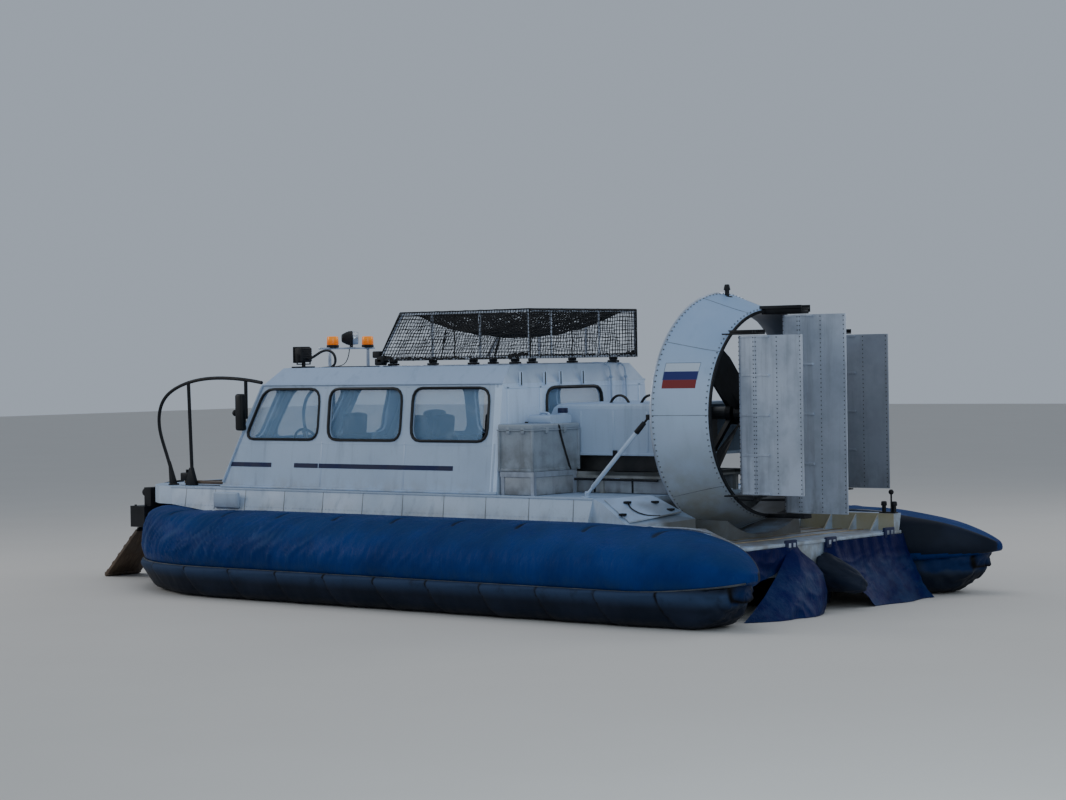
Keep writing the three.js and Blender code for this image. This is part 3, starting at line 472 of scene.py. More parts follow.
def shaded_sheet():
    """Sheet under the engine cover, dusty white forward and along its foot, with painted shade of the cover: dark
    aft, and darker along its top.
    """
    f = Finish("bed_paint")
    x, _, z = f.axes()
    cloud = f.noise(5, 4, 0.6).step(0.35, 0.7)
    f.coat(cloud, (0.2, 0.205, 0.195), (0.3, 0.31, 0.31))
    # Painted shade of the engine cover: dark aft, above the sheet's foot.
    cover_shade = ((x + f.noise(6, 3) * 0.3).step(-1.5, -1.8) * z.step(1.205, 1.225)).clamped()
    f.coat(cover_shade * 0.92, (0.022, 0.027, 0.027))
    # Painted shade under the cover's edge: darker along the top.
    f.coat(z.step(1.255, 1.31) * 0.45, (0.08, 0.085, 0.078))
    return f.made(0.5 + cloud * 0.2, f.bump(f.noise(30, 4), 0.002, 0.4))


def black_fabric(name, patched):
    """Coated black fabric, scuffed, with sand low down and on its upper edge."""
    f = Finish(name)
    x, y, z = f.axes()
    f.coat(f.noise(2, 4).step(0.4, 0.7), (0.01, 0.016, 0.034), (0.005, 0.009, 0.02))
    top = (z.step(0.17, 0.28) * z.step(0.36, 0.3) * f.noise(4, 5, 0.7).step(0.15, 0.5)
           * abs(y).step(1.45, 1.7)).clamped()
    f.coat(top * 0.75, (0.034, 0.062, 0.13))
    sand = (z.step(0.1, 0.01) * f.noise(6, 5, 0.7).step(0.3, 0.65)).clamped()
    f.coat(sand * 0.5, (0.05, 0.048, 0.046))
    bow = (x.step(3.3, 4.2) * f.noise(3, 5, 0.7).step(0.3, 0.6)).clamped()
    f.coat(bow * 0.4, (0.055, 0.062, 0.072))
    scuffs = f.noise(5, 5, 0.7, stretch=(2.5, 2.5, 0.8)).step(0.6, 0.8)
    f.coat(scuffs * 0.3, (0.035, 0.042, 0.052))
    inner = (x.step(-4.12, -4.22) * abs(y).step(2.2, 2.05)).clamped()
    patch = (inner * (z + f.noise(7, 3) * 0.16).step(0.29, 0.33)).clamped()
    f.coat(patch * patched, (0.004, 0.018, 0.075))
    # Painted shade along the seams where one segment overlaps the next.
    f.coat(f.attribute("seam").step(0.2, 0.9), (0.001, 0.001, 0.002))
    return f.made(0.55 + scuffs * 0.25 + top * 0.2,
                  f.bump(f.noise(240, 2), 0.0008, 0.3, f.bump(f.noise(11, 3), 0.01, 0.4)), specular=0.16)


def chipped_black():
    f = Finish("black_paint")
    chips = f.noise(38, 4, 0.7).step(0.66, 0.74)
    cloud = f.noise(6, 3).step(0.4, 0.7)
    f.coat(cloud, (0.016, 0.017, 0.02), (0.006, 0.007, 0.009))
    f.coat(chips * 0.4, (0.13, 0.125, 0.12))
    return f.made(0.42 + cloud * 0.25, f.bump(f.noise(45, 3), 0.0012, 0.4), specular=0.25)


def tinted_glass():
    """Blue-grey panes that let the seats show, their light blue colour a painted reflection of the sky."""
    f = Finish("glass")
    dust = f.noise(7, 4, 0.6).step(0.45, 0.8)
    # Painted reflection: the panes' light blue colour stands in for the sky reflected in them.
    f.set("Base Color", f.mix(dust, (0.38, 0.66, 1.0), (0.52, 0.74, 1.0)))
    f.set("Roughness", 0.05 + dust * 0.12)
    f.set("Alpha", 0.19 + dust * 0.06)
    f.set("Specular IOR Level", 0.7)
    return f.material


def trim(name, dark, light, scale=30, rough=0.7, depth=0.001):
    f = Finish(name)
    cloud = f.noise(scale * 0.15, 4).step(0.4, 0.7)
    f.coat(cloud, light, dark)
    return f.made(rough - 0.1 + cloud * 0.2, f.bump(f.noise(scale, 3), depth, 0.5))


def wet_wood():
    f = Finish("plank")
    grain = f.noise(14, 5, 0.65, stretch=(0.35, 3.5, 1.0)).step(0.35, 0.7)
    wet = f.noise(3, 3).step(0.4, 0.65)
    f.coat(grain, (0.16, 0.115, 0.08), (0.085, 0.055, 0.035))
    f.coat(wet * 0.6, (0.035, 0.024, 0.016))
    return f.made(0.75 - wet * 0.35, f.bump(grain, 0.002, 0.6))


def striped_duct():
    """The duct's white paint, darker and olive in patches towards the bottom, with painted shade on its upward
    faces and inside it, and three plain stripes on each side.
    """
    f = Finish("duct_paint")
    x, y, z = f.axes()
    patches = f.noise(1.4, 4).step(0.42, 0.68)
    streaks = f.noise(8, 4, 0.6, stretch=(1.0, 1.0, 0.1)).step(0.52, 0.74)
    f.coat(patches * 0.5, [c * 0.86 for c in PAINT], PAINT)
    f.coat(streaks * 0.35, [c * 0.66 for c in PAINT])
    _, ny, nz = f.normals()
    # Painted shade: faces that look up are painted a darker blue.
    f.coat(nz.step(0.1, 0.9) * 0.72, (0.16, 0.3, 0.52))
    # Darker olive paint towards the bottom, in patches.
    grime = (z.step(1.95, 0.85) * (0.45 + f.noise(3, 5, 0.65).step(0.3, 0.7) * 0.45)).clamped()
    f.coat((grime * 0.95).clamped(), (0.285, 0.262, 0.195))
    spots = f.noise(26, 4, 0.7).step(0.68, 0.76) * z.step(2.2, 1.3)
    f.coat(spots * 0.5, (0.05, 0.05, 0.04))
    # Painted shade inside the duct: faces that look towards the shaft painted near black.
    inside = (ny * y + nz * (z - DUCT_Z)).step(0.05, -0.15)
    f.coat(inside * 0.88, (0.02, 0.021, 0.024))
    fore, aft = -2.44 - MIDSHIP, -2.745 - MIDSHIP
    patch = x.step(aft - 0.001, aft + 0.001) * x.step(fore + 0.001, fore - 0.001) * abs(y).step(0.8, 0.81)
    edge = x.step(aft - 0.006, aft - 0.004) * x.step(fore + 0.006, fore + 0.004) * abs(y).step(0.8, 0.81)
    f.coat(edge * z.step(2.126, 2.13) * z.step(2.287, 2.284) * 0.7, (0.05, 0.07, 0.12))
    f.coat(patch * z.step(2.204, 2.206) * z.step(2.281, 2.279), (0.48, 0.55, 0.64))
    f.coat(patch * z.step(2.128, 2.13) * z.step(2.206, 2.204), (0.008, 0.016, 0.13))
    f.coat(patch * z.step(2.05, 2.052) * z.step(2.13, 2.128), (0.2, 0.018, 0.018))
    return f.made(0.4 + patches * 0.15 + grime * 0.2,
                  f.bump(f.noise(2.2, 2) * 0.8 + f.noise(60, 3) * 0.03, 0.006, 0.5))


def amber_glass():
    f = Finish("amber_lens")
    z = f.axes()[2]
    f.coat(z.step(2.535, 2.6), (0.85, 0.27, 0.012), (0.55, 0.075, 0.004))
    f.coat(f.noise(50, 3).step(0.5, 0.8) * 0.3, (0.95, 0.45, 0.06))
    f.set("Emission Color", (0.9, 0.25, 0.01))
    f.set("Emission Strength", 0.35)
    return f.made(0.16 + f.noise(20, 2) * 0.15, f.bump(f.noise(40, 2), 0.001, 0.3))


def silvery_lens():
    f = Finish("lens_glass", metallic=0.4)
    f.coat(f.noise(24, 3).step(0.4, 0.7), (0.62, 0.66, 0.72), (0.42, 0.46, 0.52))
    return f.made(0.06 + f.noise(30, 3) * 0.12, f.bump(f.noise(90, 2), 0.0008, 0.4))


PAINT = (0.435, 0.545, 0.7)
MUD = (0.21, 0.195, 0.16)
hull_paint = worn_paint("hull_paint", (0.43, 0.525, 0.65), MUD, dirt_top=0.98, dirt_low=0.72)
cabin_paint = worn_paint("cabin_paint", PAINT, (0.3, 0.29, 0.26), dirt_top=1.22, dirt_low=0.95)
# Painted light: the cabin paint made lighter for the aft wall and its laps, which stand in the shade of the duct
# and engine cover.
lit_aft_paint = worn_paint("lit_aft_paint", (0.62, 0.76, 0.95), (0.3, 0.29, 0.26), dirt_top=1.22, dirt_low=0.95)
duct_paint = striped_duct()
locker_paint = worn_paint("locker_paint", (0.31, 0.36, 0.42), (0.1, 0.105, 0.1), dirt_top=1.85, dirt_low=1.2)
well_paint = worn_paint("well_paint", (0.56, 0.44, 0.27), (0.16, 0.11, 0.06), dirt_top=0.85, dirt_low=0.62)
seam_paint = trim("seam_paint", (0.16, 0.17, 0.17), (0.26, 0.27, 0.27), scale=60)
aluminium = bare_metal()
rust_rivet = trim("rust_rivet", (0.022, 0.024, 0.028), (0.055, 0.058, 0.064), scale=60, rough=0.6)
dark_rivet = trim("dark_rivet", (0.11, 0.12, 0.13), (0.2, 0.215, 0.23), scale=60, rough=0.5)
blue = bag_fabric("bag_blue", (0.0012, 0.02, 0.115), (0.002, 0.032, 0.17), 0.5)
stern_blue = bag_fabric("stern_cloth", (0.0008, 0.0025, 0.044), (0.0015, 0.005, 0.07), 0.03)
black_skirt = black_fabric("skirt_black", 0.0)
segment_black = black_fabric("segment_black", 1.0)
bed_paint = shaded_sheet()
sill_paint = worn_paint("sill_paint", (0.36, 0.39, 0.43), (0.09, 0.085, 0.075), dirt_top=1.3, dirt_low=1.0)
dusty_hem = trim("dusty_hem", (0.03, 0.036, 0.046), (0.1, 0.11, 0.12), scale=30)
black = chipped_black()
glass = tinted_glass()
amber = amber_glass()
lens_glass = silvery_lens()
navy = trim("navy_paint", (0.003, 0.008, 0.05), (0.006, 0.014, 0.075), scale=40, rough=0.7)
interior = trim("interior", (0.02, 0.028, 0.045), (0.04, 0.05, 0.07))
seat_cloth = trim("seat_cloth", (0.008, 0.014, 0.034), (0.016, 0.026, 0.055), scale=220, rough=0.85)
machinery = trim("machinery", (0.02, 0.022, 0.025), (0.06, 0.06, 0.06), scale=18, rough=0.55, depth=0.003)
wood = wet_wood()
cord_black = trim("net", (0.006, 0.006, 0.007), (0.022, 0.022, 0.024), scale=200, rough=0.85)
rubber = trim("window_rubber", (0.005, 0.005, 0.006), (0.014, 0.014, 0.015), scale=120, rough=0.6)

# Finishes of each slot, first the one that its nodes of the frame get
SLOT_FINISHES = {
    "hull_paint": (hull_paint, well_paint, seam_paint, sill_paint, bed_paint),
    "cabin_paint": (cabin_paint, lit_aft_paint, duct_paint, locker_paint, navy),
    "bare_aluminium": (aluminium, rust_rivet, dark_rivet),
    "bag_blue": (blue, stern_blue),
    "skirt_black": (black_skirt, segment_black, dusty_hem),
    "black_paint": (black, rubber, amber),
    "glass": (glass, lens_glass),
    "interior": (interior, seat_cloth),
    "machinery": (machinery,),
    "plank": (wood,),
    "net": (cord_black,),
}
NODE_FINISH = {"locker": locker_paint, "engine_bed": bed_paint, "cabin_aft_wall": lit_aft_paint}


def dress_frame():
    """Gives each node of the frame the finish of its slot."""
    slots = {row["node"]: row["material_slot"] for row in frame["record"]["subparts"]}
    for name, node in frame["nodes"].items():
        finish = NODE_FINISH.get(name, SLOT_FINISHES[slots[name]][0])
        for slot in node.material_slots:
            slot.material = finish


def lerp(a, b, t):
    return a + (b - a) * t


def smoothstep(low, high, value):
    t = max(0.0, min(1.0, (value - low) / (high - low)))
    return t * t * (3 - 2 * t)


def noted(piece, name, values):
    """Writes one number for each vertex, for the finish to read."""
    attribute = piece.data.attributes.new(name, "FLOAT", "POINT")
    attribute.data.foreach_set("value", values)


def modified(piece, kind, **settings):
    """Adds a modifier and applies it."""
    picked(piece)
    modifier = piece.modifiers.new(kind.lower(), kind)
    for setting, value in settings.items():
        setattr(modifier, setting, value)
    bpy.ops.object.modifier_apply(modifier=modifier.name)
    return piece


def smoothed(piece, levels=2):
    return modified(piece, "SUBSURF", levels=levels, render_levels=levels)


# Skirt: a blue bag over black segments, from the port tail round the bow to the starboard tail

RING_X = 2.3
RING_RADIUS = 2.37
TAIL_SEAM_X = -3.0
SIDE_STEPS = 42
BOW_STEPS = 60
# Spacing of the fastenings along the bag's top, and of the skirt's segments
NOTCH_PITCH = 0.78
SEGMENT_PITCH = 0.66
TAIL_TIP = (2.07, 0.45)
# Offset and height along the side, distance and height round the bow, from the inner foot to the inner top
BAG_SECTION = [
    (1.41, 0.31, 1.41, 0.31), (2.28, 0.3, 2.325, 0.3), (2.35, 0.33, 2.385, 0.338),
    (2.368, 0.43, 2.398, 0.44), (2.352, 0.52, 2.392, 0.54), (2.322, 0.595, 2.38, 0.645),
    (2.215, 0.718, 2.33, 0.775), (2.05, 0.806, 2.22, 0.842), (1.85, 0.846, 1.99, 0.842),
    (1.62, 0.838, 1.76, 0.8), (1.41, 0.785, 1.41, 0.785),
]
SEGMENT_SECTION = [
    (1.43, 0.315, 1.43, 0.315), (1.455, 0.06, 1.455, 0.06), (1.56, 0.001, 1.56, 0.001),
    (2.13, 0.001, 2.13, 0.001), (2.225, 0.008, 2.225, 0.008), (2.29, 0.065, 2.3, 0.07),
    (2.334, 0.165, 2.358, 0.175), (2.352, 0.262, 2.386, 0.262), (2.335, 0.33, 2.37, 0.33),
]
# Station, share by which a section has shrunk towards the tip
TAIL_ROWS = [(-3.0, 0.0), (-3.15, 0.03), (-3.3, 0.09), (-3.45, 0.17), (-3.6, 0.27), (-3.75, 0.39), (-3.9, 0.52),
             (-4.02, 0.66), (-4.1, 0.78), (-4.14, 0.86)]
SEGMENT_TAIL_ROWS = [(-3.0, 0.0), (-3.15, 0.04), (-3.3, 0.1), (-3.43, 0.17), (-3.55, 0.24), (-3.66, 0.32),
                     (-3.76, 0.4),
                     (-3.84, 0.48), (-3.91, 0.56), (-3.96, 0.64), (-3.99, 0.72)]


def bag_tail(y, z, share):
    return lerp(y, TAIL_TIP[0], share), lerp(z, TAIL_TIP[1], share)


def segment_tail(y, z, share):
    top = lerp(0.33, 0.445, share)
    foot = max(0.0, share - 0.24) ** 1.5 * 0.95
    return lerp(y, TAIL_TIP[0], share), foot + (z / 0.33) * (top - foot)


def resampled(points, count):
    """Points spread evenly along a smooth closed outline."""
    smooth = []
    n = len(points)
    for i in range(n):
        p0, p1, p2, p3 = (Vector(points[(i + k - 1) % n]) for k in range(4))
        for step in range(8):
            t = step / 8
            smooth.append(0.5 * ((2 * p1) + (p2 - p0) * t + (2 * p0 - 5 * p1 + 4 * p2 - p3) * t * t
                                 + (3 * p1 - p0 - 3 * p2 + p3) * t ** 3))
    ends = smooth[1:] + smooth[:1]
    lengths = [0.0]
    for a, b in zip(smooth, ends):
        lengths.append(lengths[-1] + (b - a).length)
    result = []
    j = 0
    for i in range(count):
        target = lengths[-1] * i / count
        while lengths[j + 1] < target:
            j += 1
        result.append(smooth[j].lerp(ends[j], (target - lengths[j]) / (lengths[j + 1] - lengths[j])))
    return result


def drawn(place):
    """A place's station, offset and height."""
    return (place.x + MIDSHIP, place.y, place.z)


def round_craft(outline, tail_rows, tail):
    """The outline's place at each ring, from the port tail's tip round the bow to the starboard tail's tip."""
    port = [[at(x, *tail(p[0], p[1], share)) for p in outline] for x, share in reversed(tail_rows)]
    port += [[at(lerp(TAIL_SEAM_X, RING_X, i / SIDE_STEPS), p[0], p[1]) for p in outline]
             for i in range(1, SIDE_STEPS + 1)]
    bow = []
    for i in range(1, BOW_STEPS):
        angle = math.pi * i / BOW_STEPS
        share = smoothstep(0, math.pi / 6, min(angle, math.pi - angle))
        ring = []
        for y, z, r, h in outline:
            radius = lerp(y, r, share)
            ring.append(at(RING_X + radius * math.sin(angle), radius * math.cos(angle), lerp(z, h, share)))
        bow.append(ring)
    starboard = [[Vector((p.x, -p.y, p.z)) for p in ring] for ring in reversed(port)]
    return port + bow + starboard


def skinned(rings):
    """A closed skin through rings of points: a grid laid ring by ring, joined along its edge and capped."""
    rest_tools()
    around, along = len(rings[0]), len(rings) - 1
    bpy.ops.mesh.primitive_grid_add(x_subdivisions=around, y_subdivisions=along, size=1)
    piece = bpy.context.object
    for vertex in piece.data.vertices:
        i = round((vertex.co.x + 0.5) * around) % around
        j = round((vertex.co.y + 0.5) * along)
        vertex.co = rings[j][i]
    edit(piece)
    bpy.ops.mesh.remove_doubles(threshold=MERGE_WITHIN)
    bpy.ops.mesh.fill_holes(sides=0)
    return recalculated(piece)


def reach(p):
    """How far along the craft a point of the skirt lies, measured round the bow."""
    x = p.x + MIDSHIP
    return x if x < RING_X else RING_X + RING_RADIUS * math.atan2(x - RING_X, abs(p.y))


def crease_bag(bag):
    """Slanting creases that fade aft, a swell between fastenings, and notches under the deck."""
    dust = []
    moves = []
    for vertex in bag.data.vertices:
        p = vertex.co
        s = reach(p)
        side = 1 if p.y > 0 else 5.3
        out = max(0.0, min(1.0, (abs(p.y) - 1.5) / 0.3)) if s < RING_X else 1.0
        body = smoothstep(0.33, 0.44, p.z) * smoothstep(0.86, 0.74, p.z) * out
        fade = lerp(0.25, 1.0, smoothstep(-1.5, 2.2, s)) * (1 if s > -2.62 else 0.12)
        lean = s + 0.75 * p.z + 0.1 * noise.noise(Vector((s * 2, p.z * 5, side)))
        fold = noise.noise(Vector((lean * 14, p.z * 1.6, side)))
        ridge = max(0.0, 1 - abs(fold) * 3.2) ** 1.5
        swell = noise.noise(Vector((s * 0.9, p.z * 2.5, side + 9)))
        gap = abs((s + 0.3) % NOTCH_PITCH - NOTCH_PITCH / 2 - (p.z - 0.82) * 0.9)
        notch = max(0.0, 1 - gap / 0.035) * smoothstep(0.79, 0.825, p.z) * out
        seam = max(0.0, 1 - abs(s + 2.62) / 0.02) * smoothstep(0.34, 0.4, p.z)
        moves.append((p + vertex.normal * (
            ridge * 0.022 * body * fade + swell * 0.014 * body - notch * 0.03 + seam * 0.006)))
        # Dust on the ridges; the notches get a negative value, which the finish paints as shade.
        dust.append(ridge * body * fade - notch * 2)
    for vertex, place in zip(bag.data.vertices, moves):
        sag = smoothstep(-1.9, -3.1, place.x + MIDSHIP) * smoothstep(0.66, 0.82, place.z)
        vertex.co = place - Vector((0, 0, 0.03 * sag))
    noted(bag, "fold", dust)


def crease_segments(skirt):
    """Each segment overlaps the next along a curved seam."""
    seams = []
    normals = [vertex.normal.copy() for vertex in skirt.data.vertices]
    for vertex, normal in zip(skirt.data.vertices, normals):
        p = vertex.co
        s = reach(p)
        low = max(0.0, min(1.0, (0.3 - p.z) / 0.3))
        phase = ((s + 0.16 * low * low) / SEGMENT_PITCH) % 1.0
        wave = noise.noise(Vector((s * 3, p.z * 6, 2 if p.y > 0 else 7)))
        pleat = noise.noise(Vector((s * 14, p.z * 2, 4)))
        free = smoothstep(0.0, 0.05, p.z) * smoothstep(0.31, 0.27, p.z)
        vertex.co = p + normal * ((phase ** 0.7 * 0.034 - 0.02 + wave * 0.01 + pleat * 0.004) * free)
        vertex.co.z = max(0.0, vertex.co.z)
        tail = smoothstep(-3.4, -3.85, p.x + MIDSHIP)
        crumpled = crumple(p.x, p.y, p.z, 0.15, 0.05, 6) + crumple(p.x, p.y, p.z, 0.06, 0.02, 2)
        vertex.co += normal * (crumpled * tail * smoothstep(0.0, 0.04, p.z))
        vertex.co.z = max(0.0, vertex.co.z)
        seams.append(max(0.0, 1 - min(phase, 1 - phase) * SEGMENT_PITCH / 0.034))
    noted(skirt, "seam", seams)


def paint_faces(piece, finish, chosen):
    """Gives the faces that pass a test another finish."""
    piece.data.materials.append(finish)
    index = len(piece.data.materials) - 1
    for face in piece.data.polygons:
        if chosen(face.center, face.normal):
            face.material_index = index


def build_skirt():
    outline = resampled(BAG_SECTION, 28)
    bag = smoothed(skinned(round_craft(outline, TAIL_ROWS, bag_tail)))
    crease_bag(bag)
    finished(bag, "blue_bag", blue, replaces=("bow_bag", "side_bag_port", "side_bag_starboard"), angle=80)
    paint_faces(bag, black_skirt, lambda c, n: c.x < -3.9 and n.y * c.y < -0.1 * abs(c.y) and c.z > 0.4)
    outline = resampled(SEGMENT_SECTION, 20)
    skirt = smoothed(skinned(round_craft(outline, SEGMENT_TAIL_ROWS, segment_tail)))
    crease_segments(skirt)
    finished(skirt, "black_segments", segment_black,
             replaces=("bow_skirt", "side_skirt_port", "side_skirt_starboard"), angle=80)
    hem_line = round_craft([(2.34, 0.316, 2.384, 0.316)], TAIL_ROWS[:-1], bag_tail)
    finished(tube([drawn(ring[0]) for ring in hem_line], 0.01, sides=8), "bag_hem", dusty_hem, angle=60)
    edge_line = round_craft([(1.46, 0.812, 1.5, 0.812)], TAIL_ROWS[:3], bag_tail)
    finished(tube([drawn(ring[0]) for ring in edge_line], 0.01, sides=8), "bag_bolt_strip", aluminium, angle=60)


# Cloth that hangs behind the transom

SHEET_THICKNESS = 0.004

def cloth(columns, rows, place):
    """A sheet made from a grid; place gives each point from its share across and down."""
    rest_tools()
    bpy.ops.mesh.primitive_grid_add(x_subdivisions=columns, y_subdivisions=rows, size=2)
    piece = bpy.context.object
    for vertex in piece.data.vertices:
        vertex.co = place((vertex.co.x + 1) / 2, (1 - vertex.co.y) / 2)
    recalculated(piece)
    return modified(piece, "SOLIDIFY", thickness=SHEET_THICKNESS, offset=0)


def crumple(x, y, z, size, depth, seed):
    """A sharp-ridged unevenness, as of stiff cloth."""
    value = noise.noise(Vector((x / size, y / size, z / size + seed)))
    return (abs(value) ** 0.7 - 0.35) * depth


# Just aft of the transom: no cloth behind it comes further forward
TRANSOM_BACK = -3.438
# Height, port edge's offset and station, middle station, starboard edge's offset and station
FINGER_ROWS = [
    (0.606, 0.52, -3.437, -3.445, 0.395, -3.437), (0.545, 0.575, -3.455, -3.49, 0.35, -3.46),
    (0.455, 0.725, -3.5, -3.59, 0.3, -3.56), (0.353, 0.89, -3.545, -3.68, 0.275, -3.64),
    (0.2, 1.13, -3.585, -3.755, 0.3, -3.7), (0.08, 1.33, -3.6, -3.8, 0.36, -3.73),
    (0.004, 1.47, -3.605, -3.815, 0.42, -3.74),
]


def along_rows(rows, share):
    """A row of a table, between two of its lines."""
    step = share * (len(rows) - 1)
    i = min(int(step), len(rows) - 2)
    return [lerp(a, b, step - i) for a, b in zip(rows[i], rows[i + 1])]


def finger_place(across, down):
    z, port_y, port_x, middle_x, starboard_y, starboard_x = along_rows(FINGER_ROWS, down)
    y = lerp(port_y, starboard_y, across)
    bulge = 4 * across * (1 - across)
    x = lerp(port_x, starboard_x, across) + (middle_x - (port_x + starboard_x) / 2) * bulge
    fold = math.sin(across * 11 + down * 2.2) * 0.022 * down + crumple(x, y, z, 0.2, 0.03, 3) * (0.3 + down)
    return at(min(x + fold * bulge, -3.436), y, max(0.003, z + fold * 0.2 * (1 - down)))


def curtain_place(across, down):
    y = lerp(-0.03, -1.405, across)
    foot = lerp(0.18, 0.004, smoothstep(0.1, 0.28, across))
    z = lerp(0.606, foot, down)
    fall = (0.3 * (0.35 * down + 0.65 * down ** 2.2) + 0.05 * down * across) * smoothstep(0.0, 0.2, across)
    gather = math.sin(across * 52 + 3 * noise.noise(Vector((across * 4, 0, 1)))) * 0.012 * (1 - down) ** 2
    drape = noise.noise(Vector((across * 3.2 + down * 1.6, down * 1.1, 3))) * 0.085 * down
    crease = crumple(across + down * 0.7, down, 0, 0.17, 0.02, 8) * min(1, down * 2)
    return at(min(-3.46 - fall + gather + drape + crease, TRANSOM_BACK), y, z)


def side_panel_place(across, down):
    y = lerp(1.44, 0.545, across)
    z = lerp(0.604, lerp(0.24, 0.43, across), down)
    fold = math.sin(across * 17) * 0.012 * (1 - down * 0.5) + crumple(y, z, 0, 0.12, 0.02, 5)
    return at(min(-3.452 + fold - 0.06 * down * (1 - across), TRANSOM_BACK), y, z)


def build_stern_cloth():
    # Columns: name, node, cells across and down, shape, flat size and area, how it is held
    pieces = [
        ("stern_curtain", "stern_curtain_starboard", 110, 60, curtain_place, (1.6, 0.72), 1.05, "gathered"),
        ("bell_finger", "stern_finger", 90, 64, finger_place, (1.12, 0.8), 0.49, "hung"),
        ("corner_panel", "stern_curtain_port", 44, 24, side_panel_place, (0.92, 0.38), 0.27, "hung"),
    ]
    for name, node, columns, rows, place, flat, area, held in pieces:
        piece = cloth(columns, rows, place)
        finished(piece, name, stern_blue, replaces=(node,), angle=80)


# Columns: station, half width or radius, height of the middle
KEEL_CONE = [(-3.44, 0.19, 0.355), (-3.52, 0.178, 0.33), (-3.62, 0.15, 0.305), (-3.74, 0.118, 0.275),
             (-3.84, 0.09, 0.25), (-3.895, 0.072, 0.237), (-3.915, 0.045, 0.232)]


def build_keel_bag():
    rings = []
    for x, radius, z in reversed(KEEL_CONE):
        turn = [2 * math.pi * i / 24 for i in range(24)]
        rings.append([at(x, radius * math.cos(a), z + radius * math.sin(a)) for a in turn])
    cone = smoothed(skinned(rings))
    for vertex in cone.data.vertices:
        p = vertex.co
        vertex.co = p + vertex.normal * crumple(p.x * 0.5, p.y, p.z, 0.09, 0.03, 1)
    finished(cone, "keel_cone", black_skirt, replaces=("keel_bag",), angle=80)
    rings = []
    for x, share in ((-3.455, 0), (-3.4, 0), (-2.0, 0), (0, 0), (2.0, 0), (2.5, 0), (2.8, 0.25), (3.0, 0.55)):
        section = resampled([(-0.18, 0.335), (-0.2, 0.12), (-0.13, 0.001), (0.13, 0.001), (0.2, 0.12),
                             (0.18, 0.335)], 20)
        rings.append([at(x, lerp(p[0], 0, share), lerp(max(p[1], 0), 0.3, share)) for p in section])
    keel = smoothed(skinned(rings), 1)
    finished(keel, "keel_bag_tube", black_skirt, angle=80)


# Seals and beads that follow the edges of the frame's openings

def rim(node, wall, zone, radius, name, body):
    """A bead along the sharp edges between a wall's outside and its openings."""
    piece = copied(frame["nodes"][node])
    piece.parent = None
    for key in list(piece.keys()):
        del piece[key]
    recalculated(piece)
    edit(piece, "DESELECT")
    bpy.ops.mesh.select_mode(type="EDGE")
    shell = bmesh.from_edit_mesh(piece.data)
    low, high = at(*zone[0]), at(*zone[1])
    for edge in shell.edges:
        inside = all(low[i] <= end.co[i] <= high[i] for end in edge.verts for i in range(3))
        if not inside or len(edge.link_faces) != 2:
            continue
        facing_out = sorted(face.normal.dot(Vector(wall)) for face in edge.link_faces)
        if facing_out[1] > 0.8 and facing_out[0] < 0.5:
            edge.select = True
    bmesh.update_edit_mesh(piece.data)
    bpy.ops.mesh.select_all(action="INVERT")
    bpy.ops.mesh.delete(type="EDGE")
    picked(piece)
    bpy.ops.object.convert(target="CURVE")
    piece = bpy.context.object
    piece.data.bevel_depth = radius
    piece.data.bevel_resolution = 1
    piece.data.use_fill_caps = True
    bpy.ops.object.convert(target="MESH")
    finished(recalculated(bpy.context.object), name, rubber, body, angle=60)


def build_seals():
    # Columns: piece, node, outward direction, lowest corner, highest corner, radius, body
    seals = [
        ("side_seal_port", "cabin_side_port", (0, 1, 0.11), (-0.45, 1.0, 1.5), (3.05, 1.3, 2.1), 0.016, CRAFT),
        ("side_seal_starboard", "cabin_side_starboard", (0, -1, 0.11), (-0.45, -1.3, 1.5), (3.05, -1.0, 2.1), 0.016,
         CRAFT),
        ("aft_seal", "cabin_aft_wall", (-1, 0, 0), (-0.6, -0.5, 1.6), (-0.5, 0.55, 2.08), 0.019, CRAFT),
        ("hatch_seal", "bow_hatch", (0.83, 0, 0.55), (2.5, -0.42, 1.5), (4.0, 0.42, 2.1), 0.018, "bow_hatch"),
        ("corner_seals", "cabin_front", (0.83, 0, 0.55), (2.5, -1.1, 1.5), (4.0, 1.1, 2.1), 0.018, CRAFT),
    ]
    for name, node, wall, low, high, radius, body in seals:
        rim(node, wall, (low, high), radius, name, body)


# Rivets: one small head, set down along rows

def rivet_rows(name, rows, radius, finish, body=CRAFT):
    """Columns of a row: first place, last place, count, normal."""
    head = ball(radius)
    for vertex in head.data.vertices:
        vertex.co.z *= 0.5
    places = []
    for first, last, count, normal in rows:
        for i in range(count):
            spot = Vector(first).lerp(Vector(last), i / max(1, count - 1))
            places.append(facing(at(*spot), normal))
    finished(repeated(head, places, name), name, finish, body, angle=60)


